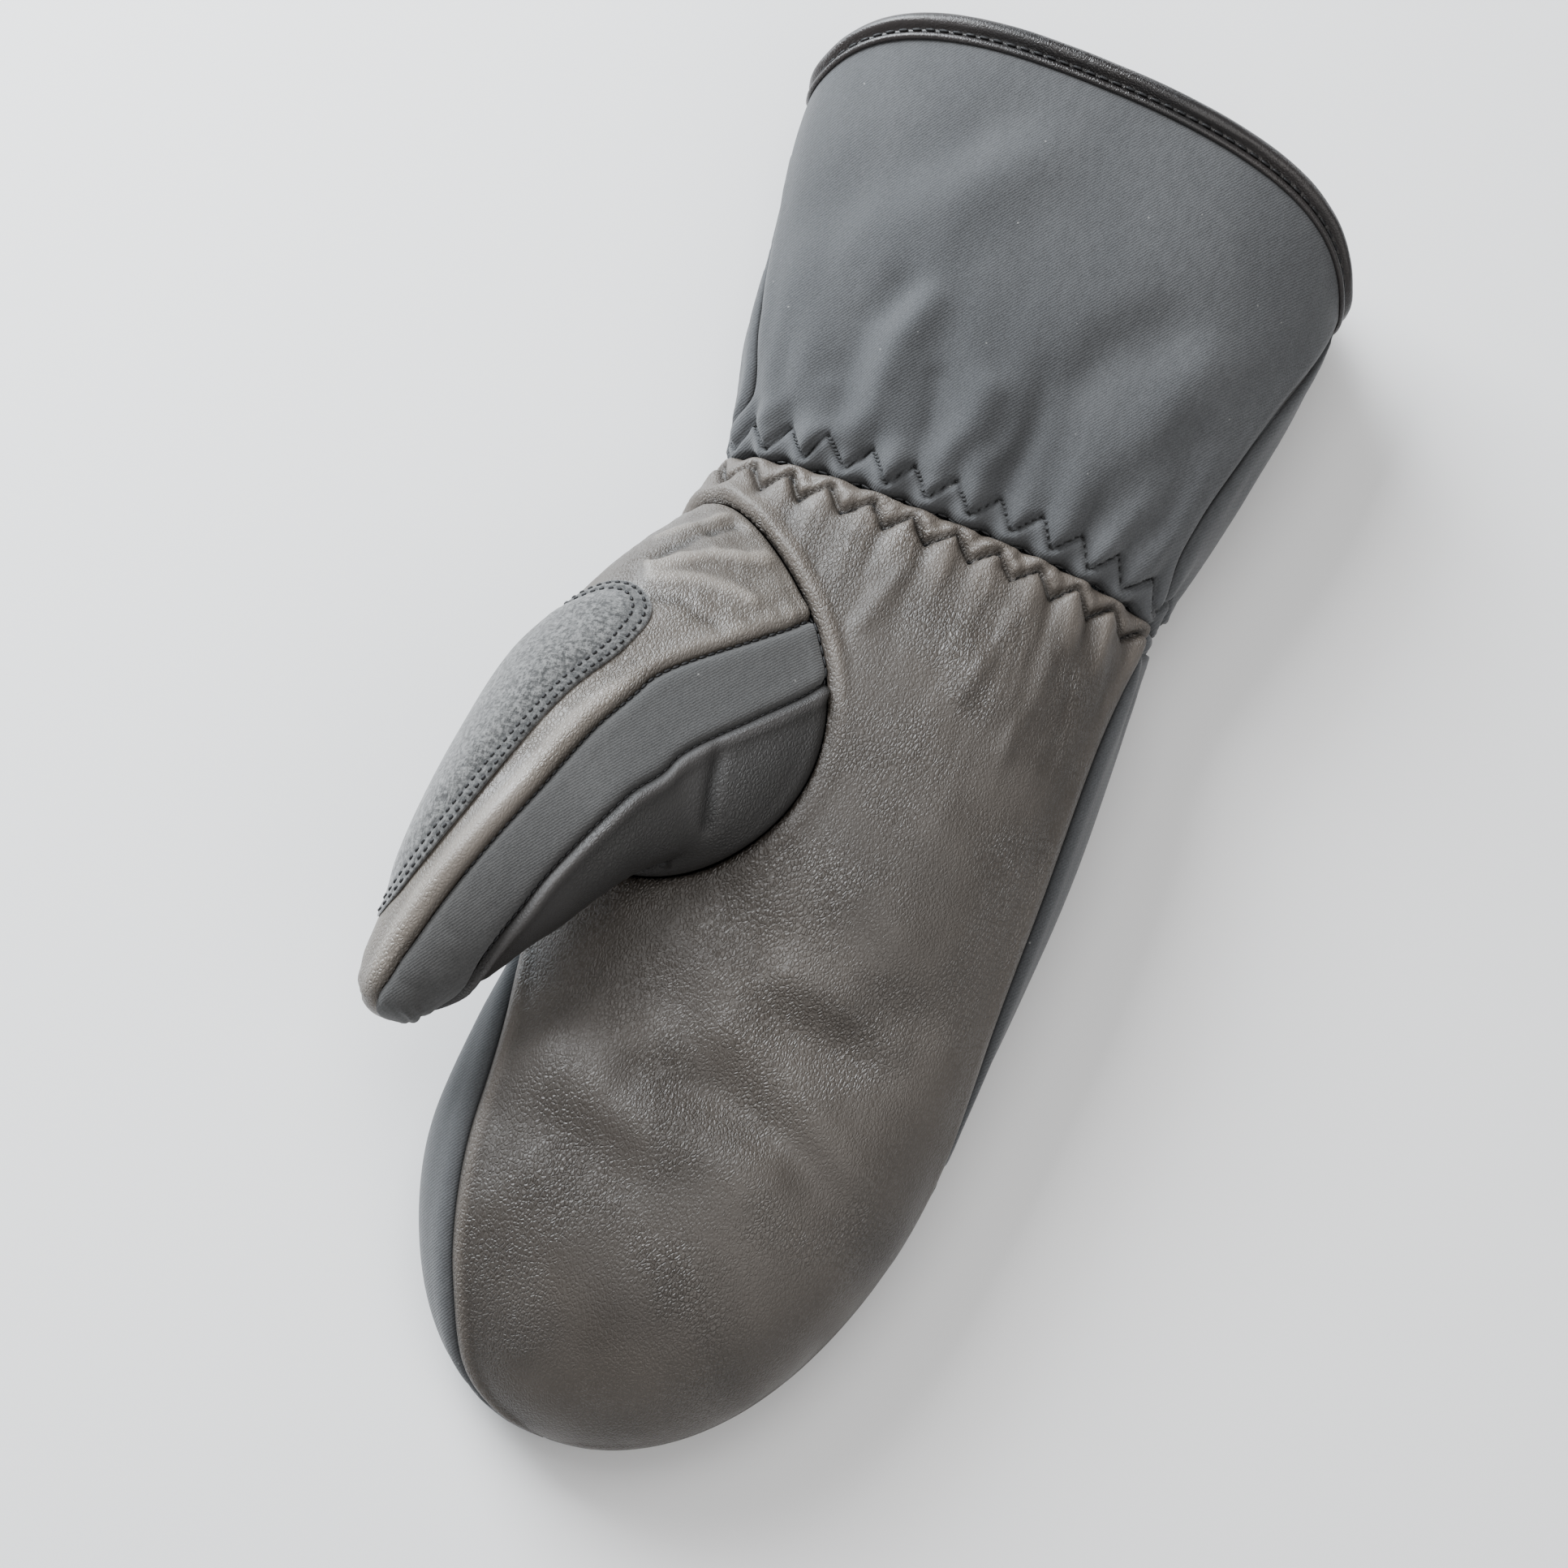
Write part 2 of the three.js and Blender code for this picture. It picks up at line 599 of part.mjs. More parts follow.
function cuffBinding() {
  const profile = bindingProfile();
  const rings = evenShares(rimSteps).slice(1).map((share) => {
    const turn = share * 2 * Math.PI;
    return profile.map((corner) => {
      const point = cuffAt(1 + corner.up / rimReach(turn), turn, -corner.out);
      point.z = Math.max(point.z, 0);
      return point;
    });
  });
  const triangles = [];
  for (let i = 0; i < rimSteps; i += 1) {
    const ring = rings[i];
    const following = rings[(i + 1) % rimSteps];
    for (let k = 0; k < profile.length; k += 1) {
      const next = (k + 1) % profile.length;
      triangles.push([ring[k], following[next], following[k]]);
      triangles.push([ring[k], ring[next], following[next]]);
    }
  }
  return closedMesh(triangles);
}

// Places along the thumb: even steps to where the tip starts to round, then round it.
function thumbShares(from, to) {
  const roundShare = thumbTipRound / thumbLength;
  const body = evenShares(thumbRows).map((share) => share * (1 - roundShare));
  const round = evenShares(tipRows).slice(1).map((share) => {
    const turn = share * radians(tipTurn);
    return 1 - roundShare + roundShare * Math.sin(turn) ** (2 / swellTip);
  });
  return body.concat(round).filter((at) => at >= from && at <= to);
}

const thumbSeam = (key) => (at) => radians(along(thumbSeams, key, at));

function thumbPanel(rows, columns, seamA, seamB) {
  return panel(rows, evenShares(columns), thumbAt, seamA, seamB, 0, wall);
}

function thumbOuterPanel() {
  return thumbPanel(thumbShares(0, 1), thumbOuterColumns, () => radians(hiddenSeam - 360), thumbSeam('stripOuter'));
}

function thumbStrip() {
  return thumbPanel(thumbShares(0, 1), stripColumns, thumbSeam('stripOuter'), thumbSeam('stripInner'));
}

function thumbInnerPanel() {
  return thumbPanel(thumbShares(0, innerPanelEnd), thumbInnerColumns, thumbSeam('stripInner'), () => radians(hiddenSeam));
}

function wipePatch() {
  const middle = (patch.from + patch.to) / 2;
  const half = (patch.to - patch.from) / 2;
  const reach = radians((patch.top - patch.under) / 2);
  const sheet = (depth) => patchPlaces.map((place) => {
    const centre = (patch.top + patch.under) / 2 + patch.lean * Math.max(0, -place) ** 3;
    const width = reach * (1 - Math.abs(place) ** patchEndFullness) ** (1 / patchSideFullness);
    return evenShares(patchColumns).map((share) => (
      thumbAt(middle + half * place, radians(centre) + width * (2 * share - 1), depth)
    ));
  });
  return wallMesh(sheet(-patchGap - patchThickness), sheet(-patchGap));
}

const leather = { color: 0x5f5c58, roughness: 0.55, metalness: 0 };
const darkLeather = { color: 0x3a3836, roughness: 0.5, metalness: 0 };
const softshell = { color: 0x5c6167, roughness: 0.85, metalness: 0 };
const felt = { color: 0x696b6b, roughness: 1, metalness: 0 };

function piece(name, geometry, finish) {
  geometry.computeVertexNormals();
  const mesh = new THREE.Mesh(geometry, new THREE.MeshStandardMaterial(finish));
  mesh.name = name;
  return mesh;
}

const mitten = new THREE.Group();

const hand = new THREE.Group();
hand.add(piece('palm_panel', palmPanel(), leather));
hand.add(piece('back_panel', backPanel(), softshell));
mitten.add(hand);

const thumb = new THREE.Group();
thumb.position.copy(thumbRoot);
thumb.add(piece('thumb_outer_panel', thumbOuterPanel(), leather));
thumb.add(piece('thumb_strip', thumbStrip(), softshell));
thumb.add(piece('thumb_inner_panel', thumbInnerPanel(), leather));
thumb.add(piece('wipe_patch', wipePatch(), felt));
mitten.add(thumb);

const cuff = new THREE.Group();
cuff.position.y = fingertipY + handLength;
cuff.add(piece('cuff_palm_panel', cuffPalmPanel(), softshell));
cuff.add(piece('cuff_back_panel', cuffBackPanel(), softshell));
cuff.add(piece('cuff_binding', cuffBinding(), darkLeather));
mitten.add(cuff);

// The origin lies on the floor under the middle of the mitten's box.
const box = new THREE.Box3().setFromObject(mitten);
mitten.position.set(-(box.min.x + box.max.x) / 2, -(box.min.y + box.max.y) / 2, -box.min.z);

export default mitten;
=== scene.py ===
"""The looks of a right-hand winter mitten: leather palm and thumb, softshell back and gauntlet cuff.

Sizes are in millimetres until a mesh is made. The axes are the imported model's: +X is the
little-finger side, +Y runs from the fingertips to the cuff, and +Z is up.
"""

import math

import bpy
import numpy as np
from mathutils import Matrix


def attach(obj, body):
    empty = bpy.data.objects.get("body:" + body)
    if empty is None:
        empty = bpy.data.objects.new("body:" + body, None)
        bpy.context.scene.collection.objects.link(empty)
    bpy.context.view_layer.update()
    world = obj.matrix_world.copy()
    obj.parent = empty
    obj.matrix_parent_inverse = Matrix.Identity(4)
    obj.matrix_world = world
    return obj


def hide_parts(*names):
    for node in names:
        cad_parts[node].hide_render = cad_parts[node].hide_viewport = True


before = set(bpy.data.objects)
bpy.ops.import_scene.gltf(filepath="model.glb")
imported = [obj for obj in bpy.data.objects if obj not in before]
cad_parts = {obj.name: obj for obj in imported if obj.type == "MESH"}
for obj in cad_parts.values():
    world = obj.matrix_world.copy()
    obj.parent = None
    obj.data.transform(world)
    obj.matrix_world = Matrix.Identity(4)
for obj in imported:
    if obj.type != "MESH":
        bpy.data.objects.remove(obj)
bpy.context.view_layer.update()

MM = 0.001

# Driving sizes, the same as in the part's source.
WALL = 2.0
HAND_LENGTH = 211
PALM_WIDTH = 106
HAND_THICKNESS = 50
FINGERTIP_RISE = 14
FINGERTIP_SHIFT = -8.5
ROUND_THUMB_SIDE = 58
ROUND_LITTLE_SIDE = 88
ROUND_TOP = 52
ROUND_UNDER = 30
WRIST_TILT = 2.5
CUFF_LENGTH = 91
HEM_RISE = 18
RIM_TILT = 5
RIM_FLATNESS = 0.4
RIM_WIDTH = 128.5
RIM_SHIFT = 11.5
RIM_THICKNESS = 55
RIM_CLEARANCE = 2.2
BINDING_ROLL = 4.4
THUMB_LENGTH = 92
THUMB_SPREAD = 40
THUMB_THICKNESS = 30
THUMB_TIP_ROUND = 6.5
HOLE_FROM_WRIST = 54
HOLE_TOWARD_CUFF = 41
HOLE_TOWARD_TIP = 44
HOLE_TURN = 143
HOLE_SPAN = 45
HOLE_SKEW = 10
THUMB_BASE_LIFT = 12
THUMB_BASE_SLIDE = 0.55
DENT_DEPTH = 2.2
FOLD_HEIGHT = 2.4
FOLD_START = 8
SWELL_TOP = 2.25
SWELL_UNDER = 2.9
SWELL_THUMB = 2.2
SWELL_TIP = 2.4
HIDDEN_SEAM = 235
INNER_PANEL_END = 0.94
FINGERTIP_Y = -(HAND_LENGTH + CUFF_LENGTH + HEM_RISE) / 2
HOLE_AT = 1 - HOLE_FROM_WRIST / HAND_LENGTH


def table(columns, rows):
    """Named columns from rows of numbers."""
    return dict(zip(columns.split(), np.array(rows, float).T))


# Cross-sections of the hand and the flare of the cuff, as in the part's source.
HAND = table("at left right top side under little thumb", [
    (0.00, -0.500, 0.486, 0.76, 0.34, -0.03, -14, 182),
    (0.06, -0.500, 0.486, 0.78, 0.35, -0.03, -13, 152),
    (0.13, -0.500, 0.486, 0.81, 0.37, -0.03, -11, 145),
    (0.28, -0.500, 0.487, 0.85, 0.40, -0.03, -5, 146),
    (0.37, -0.485, 0.494, 0.88, 0.42, -0.03, 3, 153),
    (0.44, -0.465, 0.506, 0.90, 0.43, -0.03, 11, 166),
    (0.53, -0.452, 0.527, 0.94, 0.44, -0.03, 20, 186),
    (0.68, -0.442, 0.555, 0.99, 0.45, -0.03, 26, 197),
    (0.83, -0.438, 0.566, 1.00, 0.46, -0.01, 27, 197),
    (0.91, -0.438, 0.562, 0.97, 0.46, 0.02, 22, 193),
    (0.97, -0.418, 0.548, 0.92, 0.46, 0.05, 14, 189),
    (1.00, -0.385, 0.540, 0.88, 0.45, 0.06, 10, 188),
])
CUFF = table("at left right rise little thumb", [
    (0.00, 0.00, 0.00, 0.00, 10, 188),
    (0.06, 0.14, 0.15, 0.20, 17, 176),
    (0.14, 0.28, 0.28, 0.38, 22, 162),
    (0.30, 0.54, 0.50, 0.65, 24, 165),
    (0.55, 0.71, 0.78, 0.86, 20, 178),
    (0.80, 0.94, 0.94, 0.96, 8, 184),
    (1.00, 1.00, 1.00, 1.00, -2, 186),
])
THUMB = table("at outer_out outer_down inner_out inner_down lift above below lean", [
    (0.22, 0.600, -0.080, -0.29, 0.440, 0.23, 0.53, 0.47, 32),
    (0.36, 0.790, 0.100, -0.19, 0.484, 0.27, 0.53, 0.43, 22),
    (0.52, 0.900, 0.326, -0.02, 0.587, 0.30, 0.52, 0.40, 12),
    (0.67, 0.958, 0.533, 0.15, 0.700, 0.30, 0.47, 0.40, 5),
    (0.80, 0.975, 0.707, 0.35, 0.815, 0.23, 0.38, 0.37, 0),
    (0.91, 0.995, 0.870, 0.59, 0.945, 0.18, 0.28, 0.28, 0),
    (1.00, 0.960, 0.984, 0.65, 0.990, 0.17, 0.22, 0.22, 0),
])
THUMB_SEAMS = table("at outer inner", [
    (0.00, 60, 78),
    (0.22, 73, 104),
    (0.36, 78, 109),
    (0.52, 82, 116),
    (0.67, 82, 125),
    (0.80, 82, 147),
    (0.87, 84, 195),
    (0.93, 84, 228),
    (1.00, 66, 232),
])
PATCH = {"start": 0.163, "end": 0.85, "top": 57, "under": -37, "lean": 24,
         "end_fullness": 2.6, "side_fullness": 2.2}
# Dents of the palm: along, across, turn, length, width, depth.
PALM_DENTS = [
    (0.46, 0.26, 35, 0.20, 0.08, 1.0),
    (0.39, -0.03, -30, 0.22, 0.10, 0.8),
    (0.35, -0.22, 20, 0.16, 0.10, -0.7),
    (0.29, 0.28, 10, 0.20, 0.12, -0.5),
    (0.55, -0.16, -25, 0.26, 0.09, 0.9),
]
# Folds of the cuff: across, drift, reach, width, height.
CUFF_FOLDS = [
    (0.87, -0.10, 0.35, 0.045, 0.9),
    (0.70, -0.22, 0.55, 0.055, 1.1),
    (0.54, -0.05, 0.40, 0.050, 0.8),
    (0.39, 0.02, 0.30, 0.045, 0.7),
    (0.22, -0.12, 0.45, 0.050, 0.9),
    (0.10, -0.12, 0.40, 0.040, 0.8),
]
CUFF_HOLLOW = {"across": 0.80, "along": 0.44, "width": 0.09, "length": 0.20, "depth": 1.2}

# Soft folds seen on the palm side, as points (x, y) before the shift, a half width and a height.
CUFF_SOFT_FOLDS = [
    (((-18, 95), (-23, 86), (-23, 76), (-20, 66), (-15, 57)), 5.0, -2.6),
    (((-12, 94), (-16, 83), (-16, 72), (-13, 62), (-10, 56)), 4.5, 2.0),
    (((-5, 78), (-2, 67), (2, 59)), 2.6, -0.9),
    (((-26, 70), (-24, 61), (-22, 55)), 3.2, 1.4),
    (((39, 106), (29, 96), (22, 85), (20, 73), (21, 61)), 7.0, -2.2),
    (((50, 103), (43, 88), (36, 72), (29, 58)), 6.5, 1.6),
    (((52, 87), (46, 76), (41, 63)), 4.5, -1.6),
    (((-39, 96), (-27, 109), (-15, 120), (-3, 132)), 9.0, 1.7),
    (((-42, 111), (-29, 120), (-7, 139)), 8.0, -1.2),
    (((7, 79), (7, 68), (8, 58)), 4.5, 2.0),
]
PALM_SOFT_FOLDS = [
    (((8, -56), (18, -58), (33, -62)), 4.5, 1.3),
    (((7, -66), (20, -68), (33, -69)), 4.5, -0.7),
    (((0, -72), (15, -77), (29, -87), (37, -95)), 5.5, 1.2),
    (((-15, -85), (1, -85), (15, -89), (35, -97)), 5.5, -1.6),
    (((-36, -86), (-20, -95), (-4, -97), (17, -95)), 6.5, 1.0),
    (((-39, -102), (-26, -103), (-12, -108)), 6.0, -0.6),
    (((-32, -112), (-36, -120)), 6.0, 0.7),
    (((16, -103), (24, -110)), 8.0, 0.9),
    (((16, -35), (27, -40)), 5.0, 0.6),
    (((31, 17), (18, 22)), 6.0, 0.9),
    (((-34, -75), (-42, -85)), 5.0, -0.8),
    (((27, 34), (25, 23), (22, 12)), 2.2, 0.7),
    (((38, 31), (37, 18), (35, 5)), 2.4, 0.8),
    (((3, 36), (0, 29), (-3, 20)), 2.2, 0.6),
]
THUMB_SOFT_FOLDS = [
    (((-22, -19), (-21, -26), (-19, -34)), 1.6, -0.9),
    (((-50, 25), (-43, 31), (-38, 35)), 1.2, 0.9),
    (((-49, 19), (-42, 28), (-35, 34)), 1.3, -0.9),
    (((-49, 17), (-37, 24), (-27, 27)), 1.7, 1.2),
    (((-48, 14), (-37, 17), (-26, 16)), 1.8, 0.9),
    (((-50, 9), (-40, 10), (-31, 7)), 1.8, -0.6),
]

# Sizes of the fine relief, which only the looks have.
TOOTH_PITCH = 9.3
PALM_TEETH = {"near": 3.0, "height": 4.7, "groove": 1.5, "puff": 1.8}
CUFF_TEETH = {"near": 2.2, "height": 5.5, "groove": 1.1, "puff": 1.3}
THREAD_GROOVE_WIDTH = 0.62
TOOTH_LEG_SLANT = 0.72
SEAM_WAVE = 0.5
SEAM_DEPTH = 1.0
SEAM_HALF_WIDTH = 0.75
SEAM_ROLL = 0.45
SEAM_ROLL_PLACE = 2.8
SEAM_CALM = 7.0
THUMB_SIDE_ROLL = 0.8
HOLE_ROLL = {"under": 0.25, "top": 1.6, "dip_under": 0.3, "dip_top": 0.3}
THUMB_ROLLS = {"base": 0.3, "base_dip": 0.4, "strip": 0.15, "outer": 0.5, "inner": 0.2}
GATHER_HEIGHT = 1.15
GATHER_UNEVEN = 0.55
GATHER_START = 5
PALM_GATHERS = {"reach": 10, "seed": 13}
CUFF_GATHERS = {"reach": 17, "seed": 34}
# Uneven ground round the wrist: height, hills to a tooth, length of a hill and seed.
WRINKLES = [(1.0, 4.0, 11, 11), (0.6, 7.8, 6, 12)]
BAND_WRINKLES = (0.7, 6.0, 1.7, 15)
BACK_GROUND = (0.4, 0.39, 30, 23)
CUFF_GROUND = (0.5, 0.49, 38, 32)
CUFF_SWELLS = (1.1, 0.8, 60, 35)
CUFF_SWELL_BAND = (22, 17)
CUFF_PUCKERS = (0.2, 2.9, 14, 33)
CUFF_PUCKER_REACH = 26
CUFF_DRIFT = (0.5, 0.5, 22, 31)
BACK_CREASES = {"depth": 0.9, "start": 4, "reach": 26, "seed": 14}
CUFF_CREASES = {"depth": 1.2, "start": 6, "reach": 30, "seed": 36}
# Uneven ground of the palm: height, width and length of a hill and seed.
PALM_GROUND = [(0.4, 24, 34, 21), (0.3, 9, 14, 22)]
WRINKLE_HEIGHT = {"palm": 0.36, "back": 0.15, "thumb": 0.3}
WRINKLE_REACH = {"palm_left": 20, "palm_right": 46, "back": 18, "thumb": 30}
TIP_CALM = 12
BAND_WIDTH = 7
# Uneven ground of the thumb: height, hills to a radian, length of a hill and seed.
THUMB_WRINKLES = [(1.0, 9, 3.0, 41), (0.7, 22, 1.6, 42)]
THUMB_SWELL = (0.35, 2.1, 17, 43)
# The rolls beside the thumb's strip: height, place and half width.
OUTER_ROLL = (1.5, 3.2, 2.6)
INNER_ROLL = (1.1, 1.9, 1.2)
# The crotch, where the thumb leans closely over its hole, is evened out.
CROTCH = {"at": 0.11, "reach": 0.06, "turn": 200, "share": 0.8, "times": 14}
BINDING_OVERLAP = 0.3
# Distances between the points of each piece's grid, and how the cuff's rows crowd to the wrist.
HAND_GRID = 1.0
THUMB_GRID = 0.8
PATCH_GRID = 0.6
CUFF_CROWDING = 1.3
# Points of the binding round the rim, and round its own section.
BINDING_GRID = (420, 48)

# The view, with its aim and distance in mm.
VIEW = {"elevation": 75, "roll": 19.5, "aim": (-6.9, -11, 20.7), "distance": 850, "lens": 89.7, "sensor": 36}
# Lights: direction, distance and size in metres, power in watts, and colour.
LIGHTS = {
    "key": ((-0.95, 0.62, 0.85), 1.1, 0.6, 22, (0.97, 0.98, 1.0)),
    "window": ((-1.0, 0.70, 0.40), 1.2, 0.9, 26, (0.80, 0.91, 1.0)),
    "fill": ((0.8, -0.6, 1.6), 1.6, 1.2, 10, (1.0, 0.97, 0.94)),
    "above": ((-0.2, 0.5, 2.0), 1.5, 0.8, 8, (1.0, 1.0, 1.0)),
}
FLOOR_COLOURS = ((0.86, 0.86, 0.86), (0.9, 0.9, 0.9))
LINT_COLOUR = (0.42, 0.42, 0.4)
SKY_COLOUR = (0.95, 0.97, 1, 1)
SKY_STRENGTH = 0.32

ALONG_STEP = 0.002
TURN_STEP = 0.01
WHOLE_TURN = 2 * math.pi


def curve(t, start, leaving, end, arriving):
    """A smooth curve for t from 0 to 1, by its ends and its slopes there."""
    return ((2 * t**3 - 3 * t**2 + 1) * start + (t**3 - 2 * t**2 + t) * leaving
            + (3 * t**2 - 2 * t**3) * end + (t**3 - t**2) * arriving)


def along(rows, column, at):
    """One column of a table at places between its rows, on a smooth curve."""
    x, v = rows["at"], rows[column]
    slope = np.empty_like(v)
    slope[1:-1] = (v[2:] - v[:-2]) / (x[2:] - x[:-2])
    slope[0] = (v[1] - v[0]) / (x[1] - x[0])
    slope[-1] = (v[-1] - v[-2]) / (x[-1] - x[-2])
    k = np.clip(np.searchsorted(x, at, side="right") - 1, 0, len(x) - 2)
    span = x[k + 1] - x[k]
    return curve(np.clip((at - x[k]) / span, 0, 1), v[k], span * slope[k], v[k + 1], span * slope[k + 1])


def swell(value, fullness):
    return np.sign(value) * np.abs(value) ** (2 / fullness)


def hill(distance, centre, width):
    """A smooth hill of height 1."""
    return np.exp(-(((distance - centre) / width) ** 2))


def smooth(value, low, high):
    """0 below low, 1 above high and a smooth rise between them."""
    t = np.clip((value - low) / (high - low), 0, 1)
    return t * t * (3 - 2 * t)


def lattice(i, j, seed):
    """A fixed number from 0 to 1 for each point of a square lattice."""
    mixed = (i * 374761393 + j * 668265263 + seed * 974634777) & 0xFFFFFFFF
    mixed = ((mixed ^ (mixed >> 13)) * 1274126177) & 0xFFFFFFFF
    return ((mixed ^ (mixed >> 16)) & 0xFFFF) / 0xFFFF


def noise(x, y, seed, cells=None):
    """Smooth noise from -1 to 1 over a plane, whose hills are about one unit apart.

    Given a number of cells, it comes round after that many along x.
    """
    x, y = np.broadcast_arrays(x, y)
    i, j = np.floor(x).astype(np.int64), np.floor(y).astype(np.int64)
    u, v = x - i, y - j
    u, v = u * u * (3 - 2 * u), v * v * (3 - 2 * v)
    following = i + 1
    if cells:
        i, following = i % cells, following % cells
    low = lattice(i, j, seed) * (1 - u) + lattice(following, j, seed) * u
    high = lattice(i, j + 1, seed) * (1 - u) + lattice(following, j + 1, seed) * u
    return 2 * (low * (1 - v) + high * v) - 1


def length_of(vectors):
    return np.linalg.norm(vectors, axis=-1)


def unit(vectors):
    return vectors / np.maximum(length_of(vectors), 1e-9)[..., None]


def arcs_along(points):
    """Each point's distance from the first one, along the line through them."""
    return np.concatenate([[0], np.cumsum(length_of(np.diff(points, axis=0)))])


def places(at, turn):
    """Places along and round a surface, as two arrays of one shape."""
    return np.broadcast_arrays(np.asarray(at, float), np.asarray(turn, float))


def section_point(turn, s):
    """A point on an oval section, with its side line between its top and its underside."""
    c, h = np.cos(turn), np.sin(turn)
    fullness = np.where(h >= 0, SWELL_TOP, SWELL_UNDER)
    reach = np.where(h >= 0, s["top"] - s["side"], s["side"] - s["under"])
    x = (s["left"] + s["right"]) / 2 + (s["right"] - s["left"]) / 2 * swell(c, fullness)
    return x, s["side"] + reach * swell(h, fullness)


def hand_section(at):
    distance = at * HAND_LENGTH

    def grow(column, scale, start, radius):
        rest = 1 - np.clip(distance / radius, 0, 1)
        return start + (along(HAND, column, at) * scale - start) * np.sqrt(1 - rest * rest)

    return {
        "left": grow("left", PALM_WIDTH, FINGERTIP_SHIFT, ROUND_THUMB_SIDE),
        "right": grow("right", PALM_WIDTH, FINGERTIP_SHIFT, ROUND_LITTLE_SIDE),
        "top": grow("top", HAND_THICKNESS, FINGERTIP_RISE, ROUND_TOP),
        "side": grow("side", HAND_THICKNESS, FINGERTIP_RISE, ROUND_TOP),
        "under": grow("under", HAND_THICKNESS, FINGERTIP_RISE, ROUND_UNDER),
    }


def hand_base(at, turn):
    """The hand's plain surface."""
    at, turn = places(at, turn)
    x, z = section_point(turn, hand_section(at))
    y = FINGERTIP_Y + at * HAND_LENGTH - WRIST_TILT * np.cos(turn) * at**3
    return np.stack([x, y, z], -1)


def cuff_section(at):
    wrist = hand_section(np.float64(1))
    rim = {
        "left": RIM_SHIFT - RIM_WIDTH / 2,
        "right": RIM_SHIFT + RIM_WIDTH / 2,
        "top": RIM_THICKNESS,
        "side": RIM_THICKNESS / 2,
        "under": RIM_CLEARANCE,
    }
    return {key: wrist[key] + (rim[key] - wrist[key]) * along(CUFF, key if key in CUFF else "rise", at)
            for key in rim}


def rim_reach(turn):
    """How far the rim lies from the wrist seam. It rises from the sides in a curve."""
    height = np.sin(turn) ** 2
    arch = height * (1 + RIM_FLATNESS) / (height + RIM_FLATNESS)
    return CUFF_LENGTH + HEM_RISE * arch - (RIM_TILT - WRIST_TILT) * np.cos(turn)


def cuff_base(at, turn):
    """The cuff's plain surface."""
    at, turn = places(at, turn)
    x, z = section_point(turn, cuff_section(at))
    y = FINGERTIP_Y + HAND_LENGTH + at * rim_reach(turn) - WRIST_TILT * np.cos(turn)
    return np.stack([x, y, z], -1)


def slopes(surface, at, turn, lowest=None, highest=None):
    """The surface's two slopes: for a whole step lengthwise, and for a radian round."""
    centre = np.clip(at, lowest, highest) if lowest is not None else at
    lengthwise = surface(centre + ALONG_STEP, turn) - surface(centre - ALONG_STEP, turn)
    around = surface(centre, turn + TURN_STEP) - surface(centre, turn - TURN_STEP)
    return lengthwise / (2 * ALONG_STEP), around / (2 * TURN_STEP)


# The wrist's girth, for counting the teeth of the zigzag round it.
wrist_turns = np.linspace(-math.pi, 3 * math.pi, 2881)
wrist_arcs = arcs_along(hand_base(1, wrist_turns))
wrist_girth = wrist_arcs[-1] / 2
teeth = round(wrist_girth / TOOTH_PITCH)


def tooth_phase(turn):
    """How many teeth of the zigzag lie before an angle round the wrist."""
    return np.interp(turn, wrist_turns, wrist_arcs) / wrist_girth * teeth


def noise_round(phase, per_tooth, y, seed):
    """Noise that closes on itself round the wrist, with about so many hills to a tooth."""
    cells = round(teeth * per_tooth)
    return noise(phase * cells / teeth, y, seed, cells)


def zigzag(turn):
    """1 at the points of the teeth, 0 between them, with legs that wander a little."""
    phase = tooth_phase(turn)
    phase = phase + 0.06 * noise_round(phase, 0.9, 0.5, 3)
    leg = 2 * np.abs(phase - np.floor(phase) - 0.5)
    return leg + 0.05 * noise_round(phase, 1.7, 8.5, 4)


def ground(phase, distance, row):
    """Uneven ground round the wrist, from a row of its height, hills to a tooth, length and seed."""
    height, per_tooth, length, seed = row
    return height * noise_round(phase, per_tooth, distance / length, seed)


def gathers(phase, distance, row):
    """The puckers of the elastic, one to a tooth, which differ once they are clear of the seam."""
    differing = GATHER_UNEVEN * smooth(distance, 0, GATHER_START)
    height = GATHER_HEIGHT * (1 + differing * noise_round(phase, 0.7, 3.5, row["seed"]))
    return height * np.exp(-distance / row["reach"]) * np.cos(WHOLE_TURN * phase + math.pi)


def tooth_relief(turn, distance, row):
    """The elastic's stitched teeth: a thread groove, puffed teeth and the puckers past them."""
    leg = zigzag(turn)
    thread = row["near"] + row["height"] * leg
    groove = -row["groove"] * hill((distance - thread) * TOOTH_LEG_SLANT, 0, THREAD_GROOVE_WIDTH)
    inside = np.clip(distance / thread, 0, 1)
    puff = row["puff"] * np.sin(math.pi * inside) ** 0.8 * (0.55 + 0.45 * leg)
    past = np.maximum(distance - thread, 0)
    lobe = row["puff"] * (1 - np.exp(-past / 1.3)) * np.exp(-past / 9) * (1.15 - leg)
    return groove + puff + lobe


def folds_at(base, folds):
    """The summed heights of soft folds, by the distance from the line of each."""
    x, y = base[..., 0], base[..., 1]
    height = np.zeros(x.shape)
    for points, width, rise in folds:
        nearest = np.full(height.shape, np.inf)
        for (ax, ay), (bx, by) in zip(points, points[1:]):
            dx, dy = bx - ax, by - ay
            t = np.clip(((x - ax) * dx + (y - ay) * dy) / (dx * dx + dy * dy), 0, 1)
            nearest = np.minimum(nearest, (x - ax - t * dx) ** 2 + (y - ay - t * dy) ** 2)
        height += rise * np.exp(-nearest / width**2)
    return height


def creases(phase, distance, row):
    """Thin creases that run from the elastic lengthwise, where a slow noise is near nothing."""
    slow = noise_round(phase, 0.62, distance / 55, row["seed"])
    fade = smooth(distance, row["start"] * 0.4, row["start"] * 1.6) * hill(distance, 0, row["reach"])
    return row["depth"] * fade * hill(slow, 0, 0.11)


